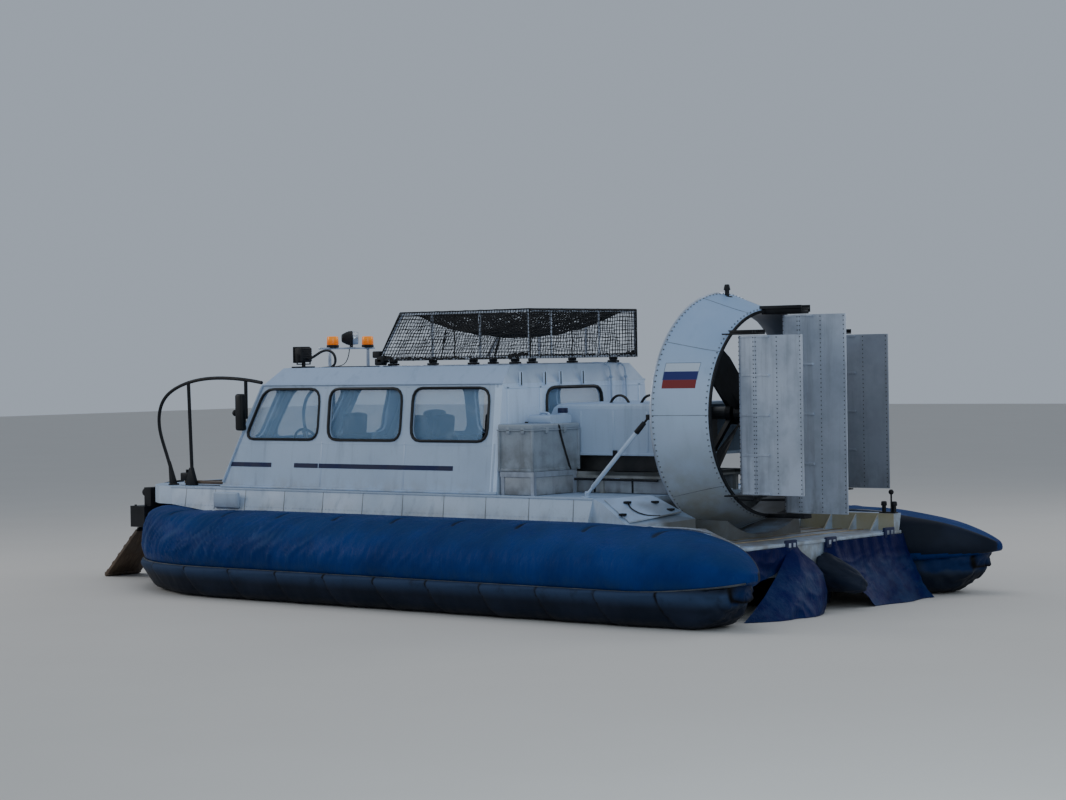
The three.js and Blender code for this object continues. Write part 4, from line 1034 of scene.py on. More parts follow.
def build_rudder_rivets():
    # Columns: rudder, its offset, foot, head
    rudders = [("rudder_port", 0.71, 1.077, 2.522), ("rudder_middle", 0.0, 0.872, 2.711),
               ("rudder_starboard", -0.71, 1.077, 2.522)]
    # Columns of rivet rows: station, half thickness there
    columns = [(-3.075, 0.034), (-3.238, 0.0405), (-3.262, 0.04), (-3.48, 0.0225), (-3.722, 0.0065)]
    for name, y, foot, head in rudders:
        rows = [((x, y + side * half, foot + 0.02), (x, y + side * half, head - 0.02), int((head - foot) / 0.04),
                 (0, side, 0)) for x, half in columns for side in (-1, 1)]
        rivet_rows(name + "_rivets", rows, 0.0065, rust_rivet, name)
        straps = [block((-3.2545, -3.2455), near(y, 0.0412), (foot + 0.003, head - 0.003), 0.001),
                  block((-3.744, -3.73), near(y, 0.0075), (foot + 0.001, head - 0.001), 0.002)]
        for z in (foot + 0.012, lerp(foot, head, 0.25), lerp(foot, head, 0.5), lerp(foot, head, 0.75),
                  head - 0.012):
            straps.append(block((-3.4, -3.1), near(y, 0.0405), near(z, 0.01), 0.001))
        finished(straps, name + "_straps", aluminium, name, angle=40)


# Duct

SPIN_STEPS = 128
DUCT_OUTLINE = [(1.076, -2.33), (1.122, -2.336), (1.134, -2.354), (1.1, -2.45), (1.052, -2.59),
                (1.006, -2.73), (0.961, -2.89), (0.945, -2.89), (0.925, -2.76), (0.918, -2.62),
                (0.95, -2.48), (1.028, -2.37)]


def turned(outline):
    """A ring spun round the propeller shaft from an outline of radius and station."""
    rest_tools()
    bpy.ops.mesh.primitive_circle_add(vertices=len(outline), radius=1, fill_type="NOTHING")
    piece = bpy.context.object
    for vertex, (radius, x) in zip(piece.data.vertices, outline):
        vertex.co = at(x, radius, DUCT_Z)
    edit(piece)
    bpy.ops.mesh.spin(steps=SPIN_STEPS, angle=2 * math.pi, center=at(0, 0, DUCT_Z), axis=(1, 0, 0),
                      use_auto_merge=True)
    return recalculated(piece)


def on_ring(radius, degrees):
    """Offset and height of a point round the shaft, from port over the top."""
    angle = math.radians(degrees)
    return radius * math.cos(angle), DUCT_Z + radius * math.sin(angle)


def duct_radius(x):
    """Outside radius of the duct at a station."""
    outside = DUCT_OUTLINE[2:7]
    for (r0, x0), (r1, x1) in zip(outside, outside[1:]):
        if x >= x1:
            return lerp(r0, r1, (x0 - x) / (x0 - x1))
    return outside[-1][0]


def build_duct():
    duct = turned(DUCT_OUTLINE)
    finished(duct, "duct_shell", duct_paint, angle=30)
    lip = turned([(0.94, -2.884), (0.966, -2.884), (0.968, -2.902), (0.94, -2.902)])
    finished(lip, "duct_lip", black, angle=30)
    flange = turned([(1.112, -2.352), (1.141, -2.35), (1.143, -2.362), (1.112, -2.374)])
    finished(flange, "duct_flange", aluminium, angle=30)
    places = []
    for x, radius, count in ((-2.376, 1.127, 132), (-2.862, 0.972, 110)):
        for i in range(count):
            y, z = on_ring(radius, 360 * i / count)
            places.append(Matrix.Translation(at(x, y, z)))
    finished(repeated(ball(0.008), places, "duct_rivets"), "duct_rivets", dark_rivet, angle=60)
    laps = []
    for degrees in (0.3, 37, 74, 106, 143, 179.7, 222, 270, 318):
        path = []
        for i in range(9):
            x = lerp(-2.37, -2.88, i / 8)
            path.append((x, *on_ring(duct_radius(x) + 0.0005, degrees)))
        laps.append(tube(path, 0.0025, sides=4, smooth=False))
    finished(laps, "duct_laps", dark_rivet, angle=60)
    # Pin plates across the duct's mouth, above and below each rudder
    plates = [block((-3.303, -2.905), near(y, 0.06), near(z, 0.007), 0.003) for y in (0.71, -0.71)
              for z in (2.537, 1.062)]
    plates += [block((-3.303, -2.855), (-0.06, 0.06), near(z, 0.02), 0.004) for z in (2.739, 0.844)]
    lamp = [drum((-2.42, 0, 2.876), (-2.42, 0, 2.905), 0.06, 20, 0.05, 0.004),
            drum((-2.42, 0, 2.9), (-2.42, 0, 2.965), 0.022, 16),
            drum((-2.42, 0, 2.96), (-2.42, 0, 3.016), 0.034, 20, 0.022, 0.006)]
    finished(plates, "pin_plates", black)
    finished(lamp, "masthead_lamp", black, angle=40)
    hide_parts("duct")
    bracket = [block((-3.31, -2.84), (-0.075, 0.075), (2.762, 2.772), 0.002),
               block((-3.31, -2.84), (-0.075, -0.067), (2.735, 2.8), 0.002),
               block((-3.31, -2.84), (0.067, 0.075), (2.735, 2.8), 0.002),
               drum((-3.233, 0, 2.77), (-3.233, 0, 2.795), 0.03, 12)]
    for y, z in ((0.71, 2.55), (-0.71, 2.55)):
        bracket.append(drum((-3.233, y, z - 0.008), (-3.233, y, z + 0.022), 0.026, 12))
        bracket.append(block((-3.3, -2.905), (y - 0.066, y - 0.06), (z - 0.012, z + 0.024), 0.002))
    finished(bracket, "rudder_brackets", black)
    linkage = [tube([(-3.02, -0.71, 1.03), (-3.03, 0, 0.99), (-3.02, 0.71, 1.03)], 0.012, smooth=False)]
    for y in (0.71, -0.71):
        linkage.append(drum((-3.233, y, 1.022), (-3.233, y, 1.056), 0.028, 12))
        linkage.append(block((-3.25, -2.99), near(y, 0.016), (1.026, 1.036), 0.002))
    finished(linkage, "rudder_linkage", black)


# Cargo net on the roof rack

# Half width, aft end, forward end of the floor and of the top, height of the floor and of the top
RACK = (0.846, -0.681, 1.336, 1.022, 2.345, 2.826)
CELL = 0.04


def net_panel(corners, sag=None, thickness=0.0085):
    """A square-meshed net between four corners, from top to bottom; sag moves its points."""
    a, b, c, d = (at(*p) for p in corners)
    wide = max((b - a).length, (d - c).length)
    high = max((c - a).length, (d - b).length)
    rest_tools()
    bpy.ops.mesh.primitive_grid_add(x_subdivisions=round(wide / CELL), y_subdivisions=round(high / CELL), size=2)
    piece = bpy.context.object
    for vertex in piece.data.vertices:
        u, v = (vertex.co.x + 1) / 2, (1 - vertex.co.y) / 2
        place = a.lerp(b, u).lerp(c.lerp(d, u), v)
        shake = Vector((noise.noise(place * 9), noise.noise(place * 9 + Vector((5, 0, 0))),
                        noise.noise(place * 9 + Vector((0, 7, 0)))))
        rim_share = min(1, 8 * min(u, 1 - u)) * min(1, 6 * min(v, 1 - v))
        vertex.co = place + shake * 0.016 * rim_share
        if sag:
            vertex.co += sag(u, v)
    return modified(piece, "WIREFRAME", thickness=thickness, use_even_offset=False)


def build_net():
    half, aft, front, top_front, floor, top = RACK
    panels = []
    for side in (1, -1):
        y = half * side
        panels.append(net_panel([(aft, y, top), (top_front, y, top), (aft, y, floor), (front, y, floor)]))
    panels.append(net_panel([(aft, half, top), (aft, -half, top), (aft, half, floor), (aft, -half, floor)]))
    panels.append(net_panel([(top_front, half, top), (top_front, -half, top), (front, half, floor),
                             (front, -half, floor)]))

    def sag(u, v):
        return Vector((0, 0, -0.26 * (4 * u * (1 - u)) ** 1.3 * (0.45 + 0.55 * (4 * v * (1 - v)) ** 0.5)
                       * min(1, 12 * min(v, 1 - v))))
    panels.append(net_panel([(aft, half, top), (top_front, half, top), (aft, -half, top), (top_front, -half, top)],
                            sag, 0.012))
    finished(panels, "cargo_netting", cord_black, replaces=("cargo_net",), angle=60)
    ropes = []
    corners = [(aft, half), (top_front, half), (top_front, -half), (aft, -half), (aft, half)]
    for (x0, y0), (x1, y1) in zip(corners, corners[1:]):
        path = []
        for i in range(25):
            t = i / 24
            x, y = lerp(x0, x1, t), lerp(y0, y1, t)
            path.append((x, y * 0.985, top - 0.006 + 0.007 * math.sin(i * 2.3)))
        ropes.append(tube(path, 0.01, sides=6))
    for x, y in ((aft, half), (aft, -half), (aft, 0.2), (-0.03, half), (0.3, half), (0.6, half)):
        path = [(x + 0.008 * math.sin(i * 1.7), y * 0.985, lerp(floor + 0.01, top - 0.01, i / 8)) for i in range(9)]
        ropes.append(tube(path, 0.009, sides=6))
    ropes += [tube([(front, y * 0.985, floor + 0.01), (top_front, y * 0.985, top - 0.01)], 0.01, sides=6,
                   smooth=False) for y in (half, -half)]
    for x0, x1, y in ((0.78, 0.62, 0.5), (0.25, 0.05, 0.3), (-0.05, -0.22, 0.62)):
        ropes.append(tube([(x0, y, floor + 0.03), (x1, y + 0.1, floor + 0.3)], 0.007, sides=6, smooth=False))
    finished(ropes, "net_ropes", cord_black, angle=60)
    build_net_bundles()


def build_net_bundles():
    """Gathered net along the rack's foot: loose turns of cord round a line."""
    rng = noise.random_unit_vector
    noise.seed_set(11)
    # Columns: start, end, thickness of the bundle, turns
    bundles = [((1.3, 0.84, 2.372), (1.12, 0.85, 2.366), 0.04, 26),
               ((1.1, 0.85, 2.362), (0.15, 0.85, 2.36), 0.017, 40),
               ((-0.4, 0.84, 2.372), (-0.66, 0.83, 2.385), 0.034, 28),
               ((-0.668, 0.8, 2.372), (-0.672, -0.8, 2.372), 0.016, 46),
               ((-0.66, -0.7, 2.372), (-0.66, -0.84, 2.38), 0.036, 20),
               ((0.1, 0.85, 2.356), (-0.38, 0.85, 2.358), 0.011, 16)]
    turns = []
    for start, end, thick, count in bundles:
        path = []
        for i in range(count * 3):
            t = i / (count * 3 - 1)
            wander = rng() * thick
            base = Vector(start).lerp(Vector(end), t)
            path.append((base.x + wander.x * 0.9, base.y + wander.y * 0.4, max(2.336, base.z + wander.z)))
        turns.append(tube(path, 0.0075, sides=4))
    finished(turns, "net_bundles", cord_black, angle=60)


def flute(piece, x, y, flutes=14, depth=0.0012):
    """Shallow grooves round an upright round piece at a station and offset."""
    for vertex in piece.data.vertices:
        turn = math.atan2(vertex.co.y - y, vertex.co.x - at(x, 0, 0).x)
        vertex.co.x += depth * math.cos(turn * flutes)


# Lamps on the roof

LAMP_X = 2.35


def build_lamps():
    stand = [block(near(LAMP_X, 0.018), (-0.16, 0.66), (2.476, 2.496), 0.004),
             block(near(LAMP_X, 0.014), (-0.08, -0.055), (2.287, 2.48), 0.003),
             block(near(LAMP_X, 0.014), (0.5, 0.525), (2.287, 2.48), 0.003)]
    stand += [block(near(LAMP_X, 0.05), near(y, 0.03), (2.286, 2.294), 0.002) for y in (0.515, -0.065)]
    finished(stand, "lamp_stand", aluminium, replaces=("roof_lamps",))
    for name, y in (("beacon_port", 0.465), ("beacon_starboard", -0.065)):
        finished(drum((LAMP_X, y, 2.492), (LAMP_X, y, 2.522), 0.066, 28, 0.064, 0.004), name + "_base", black)
        dome = drum((LAMP_X, y, 2.521), (LAMP_X, y, 2.612), 0.063, 28, 0.058, 0.012)
        flute(dome, LAMP_X, y)
        finished(dome, name + "_dome", amber)
    # The middle searchlight has a round black back and a bright bowl, turned aft to starboard
    light = [drum((LAMP_X + 0.075, 0.255, 2.592), (LAMP_X + 0.03, 0.205, 2.592), 0.04, 28, 0.074, 0.01),
             drum((LAMP_X + 0.03, 0.205, 2.592), (LAMP_X - 0.005, 0.17, 2.592), 0.074, 28, 0.078, 0.006),
             tube([(LAMP_X + 0.05, 0.12, 2.59), (LAMP_X + 0.04, 0.13, 2.51), (LAMP_X, 0.18, 2.498),
                   (LAMP_X - 0.03, 0.23, 2.51),
                   (LAMP_X - 0.04, 0.24, 2.59)], 0.009, sides=8, smooth=False),
             drum((LAMP_X, 0.18, 2.488), (LAMP_X, 0.18, 2.505), 0.016, 12)]
    finished(light, "searchlight_middle", black)
    finished(drum((LAMP_X - 0.004, 0.171, 2.592), (LAMP_X - 0.045, 0.125, 2.592), 0.072, 28, 0.066, 0.006),
             "searchlight_middle_bowl", lens_glass)
    box = [block((2.395, 2.515), (0.722, 0.878), (2.345, 2.5), 0.018, 3),
           block((2.505, 2.525), (0.714, 0.886), (2.338, 2.508), 0.008, 2),
           block((2.41, 2.5), (0.742, 0.858), (2.498, 2.508), 0.004),
           drum((2.45, 0.8, 2.3), (2.45, 0.8, 2.35), 0.02, 16),
           block((2.38, 2.53), (0.7, 0.9), (2.2865, 2.302), 0.004),
           tube([(2.45, 0.895, 2.43), (2.45, 0.895, 2.325), (2.45, 0.705, 2.325), (2.45, 0.705, 2.43)], 0.009,
                sides=8, smooth=False)]
    box += [block((2.389, 2.4), (0.735, 0.865), (2.362 + i * 0.023, 2.37 + i * 0.023), 0.002) for i in range(6)]
    finished(box, "searchlight_port_case", black, replaces=("searchlight_port",))
    finished(drum((2.522, 0.8, 2.423), (2.53, 0.8, 2.423), 0.068, 28, 0.06, 0.002), "searchlight_port_lens",
             lens_glass)
    leads = [tube([(2.4, 0.8, 2.375), (2.34, 0.78, 2.385), (2.28, 0.75, 2.44), (2.2, 0.72, 2.472),
                   (2.13, 0.69, 2.45),
                   (2.1, 0.67, 2.38), (2.13, 0.66, 2.31), (2.17, 0.66, 2.296)], 0.014, sides=8),
             tube([(2.17, 0.66, 2.294), (2.1, 0.75, 2.293), (1.9, 0.8, 2.293), (1.6, 0.78, 2.293),
                   (1.36, 0.8, 2.293)], 0.004, sides=6),
             tube([(2.36, 0.2, 2.5), (2.33, 0.24, 2.43), (2.3, 0.3, 2.34), (2.26, 0.42, 2.296),
                   (2.17, 0.64, 2.294)], 0.005, sides=6),
             tube([(2.17, 0.66, 2.294), (2.19, 0.8, 2.292), (2.22, 0.905, 2.27), (2.3, 0.945, 2.245),
                   (2.48, 0.955, 2.225)], 0.004, sides=6)]
    finished(leads, "lamp_leads", rubber, angle=60)


# Cabin

# Height and offset of the side wall at its foot and at the eave
WALL_FOOT, WALL_HEAD = (1.045, 1.235), (2.11, 1.115)


def wall_y(z, out=0.0):
    """Offset of the cabin's side wall at a height."""
    share = (z - WALL_FOOT[0]) / (WALL_HEAD[0] - WALL_FOOT[0])
    return lerp(WALL_FOOT[1], WALL_HEAD[1], share) + out


def on_wall(x, z, width, height, thick, bevel=0.001):
    """A flat piece on the port cabin wall, leaning with it."""
    piece = block(near(x, width / 2), near(0, thick / 2), near(0, height / 2), bevel)
    lean = math.atan2(WALL_FOOT[1] - WALL_HEAD[1], WALL_HEAD[0] - WALL_FOOT[0])
    piece.rotation_euler = (lean, 0, 0)
    piece.location = (0, wall_y(z, thick / 2 - 0.0005), z)
    return settle(piece)


def both_sides(piece):
    """A piece, or several as one, with its mirror image."""
    if isinstance(piece, list):
        piece = joined(*piece)
    return joined(piece, mirrored(piece))


def build_cabin_trim():
    # Columns of the painted stripe: station from, station to
    runs = [(3.14, 2.539), (2.204, 1.862), (1.848, 0.015)]
    finished(both_sides([on_wall((a + b) / 2, 1.289, a - b, 0.046, 0.003, 0.0) for a, b in runs]), "cabin_stripe",
             navy)
    laps = []
    for x in (-0.5, 0.67, 1.82):
        laps.append(on_wall(x, 1.3, 0.026, 0.47, 0.002))
        laps.append(on_wall(x, 2.088, 0.026, 0.03, 0.002))
    laps.append(on_wall(1.28, 1.515, 3.5, 0.01, 0.002))
    finished(both_sides(laps), "cabin_laps", cabin_paint)
    finished(both_sides(block((-0.575, 3.26), (1.236, 1.262), (1.047, 1.072), 0.006)), "cabin_foot_rail",
             cabin_paint)
    finished(both_sides(tube([(-0.56, 1.121, 2.112), (2.735, 1.121, 2.112)], 0.011, sides=8, smooth=False)),
             "roof_gutter", cabin_paint, angle=60)
    finished(both_sides(tube([(2.74, 1.125, 2.1), (2.86, 1.15, 1.86), (3.02, 1.18, 1.56), (3.24, 1.235, 1.1)],
                             0.014, sides=8, smooth=False)), "door_post_trim", cabin_paint, angle=60)
    build_aft_wall()
    build_roof_trim()


def build_aft_wall():
    slots, frames = [], []
    for y in (0.85, 0.49, 0.25, -0.1):
        slots.append(block((-0.572, -0.5605), near(y, 0.012), (2.09, 2.215), 0.002))
        frames += [block((-0.578, -0.5605), near(edge, 0.004), (2.085, 2.22), 0.001)
                   for edge in (y + 0.016, y - 0.016)]
    finished(slots, "vent_slots", rubber)
    frames += [block((-0.5635, -0.5602), near(y, 0.013), (1.06, 2.08), 0.0008) for y in (1.04, 0.55, -0.57, -1.02)]
    frames.append(block((-0.5635, -0.5602), (-1.08, 1.08), (2.06, 2.074), 0.0008))
    finished(frames, "aft_wall_laps", lit_aft_paint)
    pipes = []
    for y in (-0.545, -0.785):
        pipes.append(tube([(-0.585, y, 1.1), (-0.585, y, 2.18), (-0.57, y, 2.27), (-0.5, y * 0.98, 2.292),
                           (-0.36, y * 0.95, 2.292)], 0.009))
        pipes += [block((-0.598, -0.5605), near(y, 0.014), near(z, 0.012), 0.003) for z in (1.4, 1.8, 2.15)]
    finished(pipes, "aft_wall_pipes", cabin_paint, angle=60)


def build_roof_trim():
    finished([block(near(x, 0.016), (-0.9, 0.9), (2.2855, 2.289), 0.001) for x in (-0.2, 0.4, 1.0, 1.6, 2.1, 2.55)],
             "roof_laps", cabin_paint)
    finished([block((-0.52, 1.32), near(y, 0.022), (2.2855, 2.297), 0.003) for y in (0.77, -0.77)],
             "rack_foot_rails", aluminium)
    clamps = []
    for x in (-0.43, 0.11, 0.65, 1.19):
        for y in (0.77, -0.77):
            clamps.append(block(near(x, 0.055), near(y, 0.03), (2.296, 2.316), 0.004))
            clamps.append(block(near(x, 0.04), near(y, 0.024), (2.318, 2.352), 0.006))
    clamps += [block(near(x, 0.05), (0.765, 0.855), near(z, 0.035), 0.012)
               for x, z in ((1.3, 2.36), (1.36, 2.41), (1.33, 2.335))]
    finished(clamps, "rack_clamps", black)


# Seats seen through the panes

SEAT_WIDTH = 0.45
# How far a pad's faces swell between their edges
PAD_CROWN = 0.018

def build_seats():
    # Columns: node, station, offset, width, top
    seats = [("front_seat_port", 2.05, 0.61, 0.46, 1.8), ("front_seat_starboard", 2.05, -0.61, 0.46, 1.8),
             ("middle_seat_port", 1.0, 0.61, 0.82, 1.78), ("middle_seat_starboard", 1.0, -0.61, 0.82, 1.78),
             ("rear_bench", -0.12, 0.0, 2.04, 1.74)]
    for node, x, y, width, top in seats:
        places = max(1, round(width / SEAT_WIDTH))
        share = width / places
        parts = []
        for i in range(places):
            middle = y - width / 2 + share * (i + 0.5)
            half = share / 2 - 0.006
            parts += [cushion((x + 0.02, x + 0.47), near(middle, half), (0.985, 1.105), 0.0),
                      cushion((x - 0.13, x - 0.01), near(middle, half), (1.07, top - 0.21), 0.1),
                      cushion((x - 0.185, x - 0.085), near(middle, half * 0.62), (top - 0.21, top), 0.1)]
        finished(block((x - 0.06, x + 0.4), (y - width / 2 + 0.02, y + width / 2 - 0.02), (0.622, 0.98), 0.02),
                 node + "_plinth", interior)
        pad = finished(parts, node + "_pad", seat_cloth, replaces=(node,), angle=70)


def cushion(x, y, z, lean):
    """A crowned pad: a rounded block whose faces swell between their edges."""
    piece = block(x, y, z, 0.022)
    edit(piece)
    bpy.ops.mesh.subdivide(number_cuts=4)
    rest_tools()
    middle = at(*((a + b) / 2 for a, b in (x, y, z)))
    size = [(b - a) / 2 for a, b in (x, y, z)]
    for vertex in piece.data.vertices:
        d = [(vertex.co[i] - middle[i]) / size[i] for i in range(3)]
        crown = [max(0.0, 1 - d[i] ** 2) for i in range(3)]
        vertex.co.x += d[0] * crown[1] * crown[2] * PAD_CROWN
        vertex.co.z += d[2] * crown[0] * crown[1] * PAD_CROWN
        vertex.co.x -= lean * (vertex.co.z - z[0])
    return piece


# Engine cover, locker and canister behind the cabin

def build_engine_bay():
    for name, x0, x1 in (("cover_handle_front", -1.348, -1.573), ("cover_handle_aft", -1.72, -1.945)):
        path = [(lerp(x0, x1, i / 8), 0.445, 1.905 + 0.075 * math.sin(math.pi * i / 8) ** 0.6) for i in range(9)]
        finished(tube(path, 0.013, sides=8), name, rubber, "engine_cover", angle=60)
    edge = [block((-2.252, -0.645), (0.498, 0.512), (1.404, 1.432), 0.004),
            block((-2.252, -0.645), (-0.512, -0.498), (1.404, 1.432), 0.004),
            block((-2.262, -2.249), (-0.5, 0.5), (1.404, 1.432), 0.004)]
    edge += [block(near(x, 0.014), (0.4995, 0.5025), (1.44, 1.83), 0.0008) for x in (-1.02, -1.42, -1.83)]
    finished(edge, "engine_cover_edge", cabin_paint, "engine_cover")
    finished([block(near(x, 0.025), (0.511, 0.526), (1.395, 1.455), 0.004) for x in (-0.95, -1.45, -2.0)],
             "engine_cover_catches", black, "engine_cover")
    build_locker()
    build_sills()
    build_braces()


def build_locker():
    finished([block((-1.022, -0.588), (0.523, 1.232), (1.668, 1.722), 0.014, 3),
              block((-1.03, -0.58), (0.515, 1.24), (1.66, 1.672), 0.003)], "locker_lid", locker_paint)
    trim_parts = [block(near(x, 0.012), near(y, 0.012), (1.272, 1.66), 0.004)
                  for x, y in ((-1.012, 1.222), (-0.598, 1.222), (-1.012, 0.533), (-0.598, 0.533))]
    trim_parts.append(block((-1.018, -0.592), (0.527, 1.228), (1.272, 1.3), 0.004))
    trim_parts += [block(near(x, 0.02), (1.218, 1.24), (1.632, 1.69), 0.004) for x in (-0.9, -0.72)]
    trim_parts += [block((-1.034, -1.01), near(y, 0.02), (1.632, 1.69), 0.004) for y in (0.75, 1.02)]
    finished(trim_parts, "locker_trim", locker_paint)
    strap = [tube([(-1.028, 0.84, 1.7), (-1.018, 0.82, 1.62), (-1.016, 0.7, 1.36), (-1.018, 0.665, 1.275)], 0.011,
                  sides=6),
             tube([(-0.62, 0.86, 1.728), (-1.0, 0.845, 1.728), (-1.03, 0.84, 1.7)], 0.008, sides=6)]
    finished(strap, "locker_strap", rubber, angle=60)
    finished(drum((-0.92, 0.65, 1.798), (-0.92, 0.65, 1.818), 0.046, 24, 0.044, 0.003), "canister_neck",
             cabin_paint)
    cap = drum((-0.92, 0.65, 1.816), (-0.92, 0.65, 1.864), 0.05, 28, 0.048, 0.005)
    flute(cap, -0.92, 0.65)
    finished(cap, "canister_cap", navy)
    finished(tube([(-0.86, 0.78, 1.798), (-0.855, 0.78, 1.818), (-0.8, 0.78, 1.824), (-0.745, 0.78, 1.818),
                   (-0.74, 0.78, 1.798)], 0.012, sides=8), "canister_grip", cabin_paint, angle=60)


def build_sills():
    """Boxes under the locker and the engine bed, with their dark edges."""
    finished(block((-1.005, -0.605), (0.545, 1.21), (1.0465, 1.222), 0.01), "locker_sill", sill_paint)
    finished(block((-1.0125, -1.0045), (0.6, 1.16), (1.228, 1.262), 0.002), "locker_slot", rubber)
    finished([block((-2.12, -0.7), (0.512, 0.522), (1.05, 1.185), 0.003),
              block((-2.12, -0.7), (-0.522, -0.512), (1.05, 1.185), 0.003)], "bed_panels", sill_paint)
    edges = []
    for side in (1, -1):
        edges += [block(near(x, 0.01), sorted((0.5215 * side, 0.5285 * side)), (1.052, 1.188), 0.002)
                  for x in (-2.12, -1.66, -1.2, -0.72)]
        edges.append(tube([(-0.68, 0.6 * side, 1.176), (-1.3, 0.6 * side, 1.18), (-2.02, 0.6 * side, 1.176)], 0.012,
                          sides=8))
    finished(edges, "bed_edges", black)


def build_braces():
    for name, side in SIDES:
        foot, head = Vector((-1.68, 1.24 * side, 1.075)), Vector((-2.312, 1.105 * side, 1.79))
        parts = [drum(foot.lerp(head, 0.02), foot.lerp(head, 0.1), 0.014, 12),
                 drum(foot.lerp(head, 0.09), foot.lerp(head, 0.82), 0.0205, 20, 0.0205, 0.003),
                 block((-1.72, -1.64), near(1.24 * side, 0.035), (1.0455, 1.058), 0.003),
                 block((-1.7, -1.66), near(1.24 * side, 0.006), (1.055, 1.105), 0.004),
                 drum((-1.68, 1.24 * side - 0.02, 1.088), (-1.68, 1.24 * side + 0.02, 1.088), 0.012, 12)]
        finished(parts, "duct_brace_rod_" + name, cabin_paint, replaces=("duct_brace_" + name,))
        buckle = [drum(foot.lerp(head, 0.8), foot.lerp(head, 0.93), 0.026, 16, 0.022, 0.003),
                  drum(foot.lerp(head, 0.93), foot.lerp(head, 0.995), 0.011, 12),
                  block((-2.325, -2.285), near(1.105 * side, 0.012), (1.765, 1.815), 0.004)]
        finished(buckle, "duct_brace_buckle_" + name, black)


# Hull and decks

def build_hull_trim():
    finished(both_sides(block((2.84, 3.21), (1.372, 1.412), (0.842, 1.004), 0.014, 3)), "side_cover", hull_paint)
    finished(both_sides(block((-1.8, 3.98), (1.2995, 1.312), (1.026, 1.048), 0.004)), "gunwale_strip", hull_paint)
    rivets = []
    for z, out in ((1.034, 1.3125), (0.862, 1.3775)):
        rivets.append(((-1.75, out, z), (3.95, out, z), 110, (0, 1, 0.3)))
        rivets.append(((-1.75, -out, z), (3.95, -out, z), 110, (0, -1, 0.3)))
    rivet_rows("hull_rivets", rivets, 0.005, hull_paint)
    finished(both_sides([seam_strip(x)
                         for x in (3.7, 3.25, 2.793, 2.218, 1.663, 1.108, 0.564, 0.02, -0.52, -1.06, -1.6)]),
                         "hull_seams", seam_paint)


def seam_strip(x):
    """A narrow upright lap on the hull's sloping side."""
    piece = block(near(x, 0.004), (-0.001, 0.001), (-0.11, 0.11), 0.0)
    for vertex in piece.data.vertices:
        vertex.co.x += 0.24 * vertex.co.z
    piece.rotation_euler = (math.atan2(0.1, 0.245), 0, 0)
    piece.location = (0, 1.3478, 0.925)
    return settle(piece)


def build_stern_trim():
    # Dark toggle boxes on the transom's edge, to which the curtain is laced
    boxes, eyes = [], []
    for y, z in ((0.505, 0.618), (-0.148, 0.606), (-1.147, 0.632)):
        boxes.append(block((-3.464, -3.431), near(y, 0.085), (z - 0.052, z + 0.045), 0.008))
        eyes += [block((-3.469, -3.462), (y + dy - 0.018, y + dy + 0.018), (z - 0.022, z + 0.018), 0.003)
                 for dy in (-0.036, 0.036)]
    finished(boxes, "lacing_boxes", navy)
    finished(eyes, "lacing_eyes", aluminium)
    finished(block((-3.446, -3.431), (-1.38, 1.38), (0.606, 0.636), 0.004), "transom_lip", hull_paint)
    finished([block(near(x, 0.012), (-1.24, 1.24), (0.6405, 0.648), 0.002) for x in (-3.1, -2.86, -2.62, -2.38)],
             "well_laps", well_paint)
    # Catches of the shoulder hatches, and a lead that lies over each
    for name, side in SIDES:
        pads = [block(near(x, 0.03), near(side * y, 0.026), (z - 0.002, z + 0.02), 0.005)
                for x, y, z in ((-2.247, 0.945, 0.994), (-2.415, 0.93, 0.928), (-2.168, 1.33, 0.897),
                                (-2.09, 1.157, 0.998))]
        lead = [(-2.09, 1.15), (-2.14, 1.19), (-2.19, 1.2), (-2.27, 1.19), (-2.34, 1.15), (-2.4, 1.07)]
        pads.append(tube([(x, side * y, hatch_top(x, y) + 0.01) for x, y in lead], 0.007, sides=6))
        finished(pads, "hatch_catches_" + name, black, "shoulder_hatch_" + name)


def hatch_top(x, y):
    """Height of the shoulder hatch's plate at a place."""
    return 1.039 + (0.403 * (x + 1.905) - 0.304 * (y - 1.27)) / 0.863


# Bow: rails, platform and ramp

RAIL_PATH = [(4.16, 1.06), (4.16, 1.1), (4.25, 1.35), (4.385, 1.62), (4.385, 1.85), (4.26, 2.035),
             (3.9, 2.164), (3.44, 2.208), (2.985, 2.174), (2.77, 2.138)]


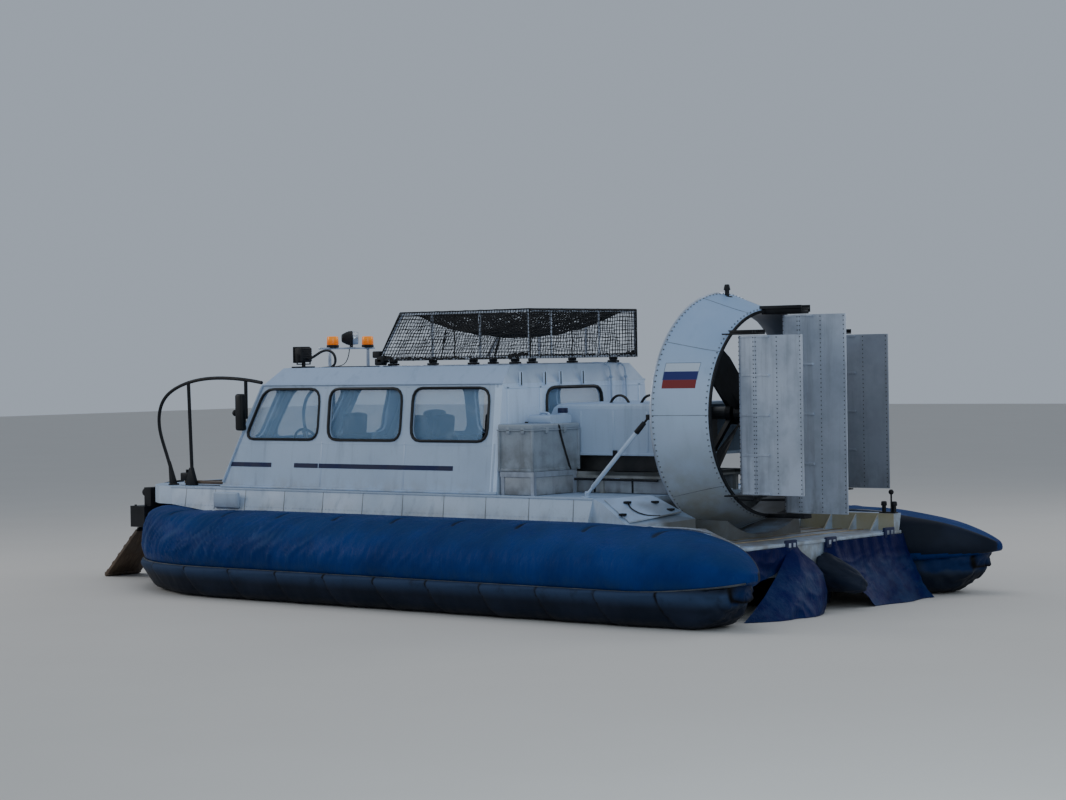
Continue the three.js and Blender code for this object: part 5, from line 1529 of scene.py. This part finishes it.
def build_rails():
    for name, y in (("port", 1.1), ("starboard", -1.1)):
        rail = tube([(x, y, z) for x, z in RAIL_PATH], 0.0185, sides=16)
        parts = [rail, drum((3.865, y, 1.1), (3.9, y, 2.16), 0.019, 16),
                 drum((3.015, y, 1.76), (3.012, y, 2.176), 0.019, 16),
                 drum((4.16, y, 1.047), (4.16, y, 1.062), 0.06, 28, 0.056, 0.004)]
        gusset = block((3.79, 3.96), near(y, 0.02), (1.047, 1.235), 0.004)
        for vertex in gusset.data.vertices:
            middle = at(3.875, 0, 0).x
            share = smoothstep(1.06, 1.23, vertex.co.z)
            vertex.co.x = lerp(vertex.co.x, middle + (vertex.co.x - middle) * 0.22, share)
        parts.append(gusset)
        skid = block((4.11, 4.22), near(y, 0.012), (1.05, 1.3), 0.004)
        for vertex in skid.data.vertices:
            share = smoothstep(1.06, 1.29, vertex.co.z)
            vertex.co.x = lerp(vertex.co.x, at(4.235, 0, 0).x, share * 0.82)
        parts.append(skid)
        finished(parts, "bow_rail_tube_" + name, black, replaces=("bow_rail_" + name,), angle=40)
    finished(block((3.16, 4.02), (0.93, 1.075), (1.062, 1.092), 0.006), "deck_plank", wood)
    gear = [block((3.94, 4.07), (0.98, 1.09), (1.093, 1.178), 0.012),
            drum((4.02, 1.03, 1.17), (4.02, 1.03, 1.21), 0.016, 12),
            tube([(4.0, 1.0, 1.1), (4.1, 0.9, 1.065), (4.2, 0.6, 1.06), (4.15, 0.2, 1.06)], 0.01)]
    finished(gear, "deck_box", black, angle=40)


def build_bow_gear():
    parts = [drum((x, y, 0.8), (x, y, 0.812), 0.014, 6) for x in (4.702, 4.868) for y in (0.5, 1.03)]
    parts.append(tube([(4.83, 0.7, 0.885), (4.83, 0.7, 0.93), (4.83, 0.76, 0.94)], 0.014))
    parts += [drum((4.83, 0.7, z), (4.83, 0.7, z + 0.008), 0.062, 24) for z in (0.8, 0.842, 0.884)]
    parts.append(tube([(4.79, 0.93, 0.94), (4.72, 0.98, 0.96), (4.68, 0.9, 1.0), (4.66, 0.75, 1.052),
                       (4.55, 0.6, 1.06)], 0.011))
    finished(parts, "bow_gear", black, angle=40)
    finished(block((5.33, 5.395), (0.565, 1.045), (0.012, 0.05), 0.006), "ramp_foot", wood, "boarding_ramp")
    finished([drum((4.84, y - 0.04, 0.548), (4.84, y + 0.04, 0.548), 0.014, 12) for y in (0.62, 0.8, 0.99)],
             "ramp_hinges", black)


def build_mirrors():
    for name, side in SIDES:
        y = sorted((1.16 * side, 1.238 * side))
        case = block((2.938, 3.049), y, (1.64, 2.025), 0.026, 3)
        arms = [tube([(3.01, side * 1.18, z), (3.03, side * 1.14, z), (3.06, side * 1.1, z)], 0.012, sides=8)
                for z in (1.72, 1.94)]
        pivot = ball(0.035, 16, 10, (3.07, side * 1.2, 1.825))
        finished([case, pivot, *arms], "mirror_casing_" + name, black, angle=40)


def build_bollards():
    parts = []
    for x in (-3.285, -3.4):
        parts.append(drum((x, -1.33, 0.808), (x, -1.33, 0.9), 0.02, 16))
        parts.append(drum((x, -1.33, 0.87), (x, -1.33, 0.914), 0.03, 20, 0.026, 0.008))
    parts.append(block((-3.425, -3.245), (-1.362, -1.298), (0.8015, 0.812), 0.003))
    parts.append(drum((-3.38, -1.31, 0.812), (-3.38, -1.31, 0.985), 0.009, 10))
    parts.append(ball(0.026, 16, 10, (-3.38, -1.31, 1.005)))
    finished(parts, "mooring_bollards", black, replaces=("bollards",), angle=50)


def build_floor():
    rest_tools()
    bpy.ops.mesh.primitive_plane_add(size=160, location=(0, 0, 0))
    floor = bpy.context.object
    floor.name = "floor"
    f = Finish("floor", roughness=0.9)
    f.set("Base Color", f.mix(f.noise(0.6, 4).step(0.3, 0.7) * 0.25, (0.6, 0.575, 0.54), (0.55, 0.525, 0.49)))
    floor.data.materials.append(f.material)


add_camera()
add_studio()
build_floor()
dress_frame()
build_skirt()
build_stern_cloth()
build_keel_bag()
build_seals()
build_rudder_rivets()
build_duct()
build_net()
build_lamps()
build_cabin_trim()
build_seats()
build_engine_bay()
build_hull_trim()
build_stern_trim()
build_rails()
build_bow_gear()
build_mirrors()
build_bollards()
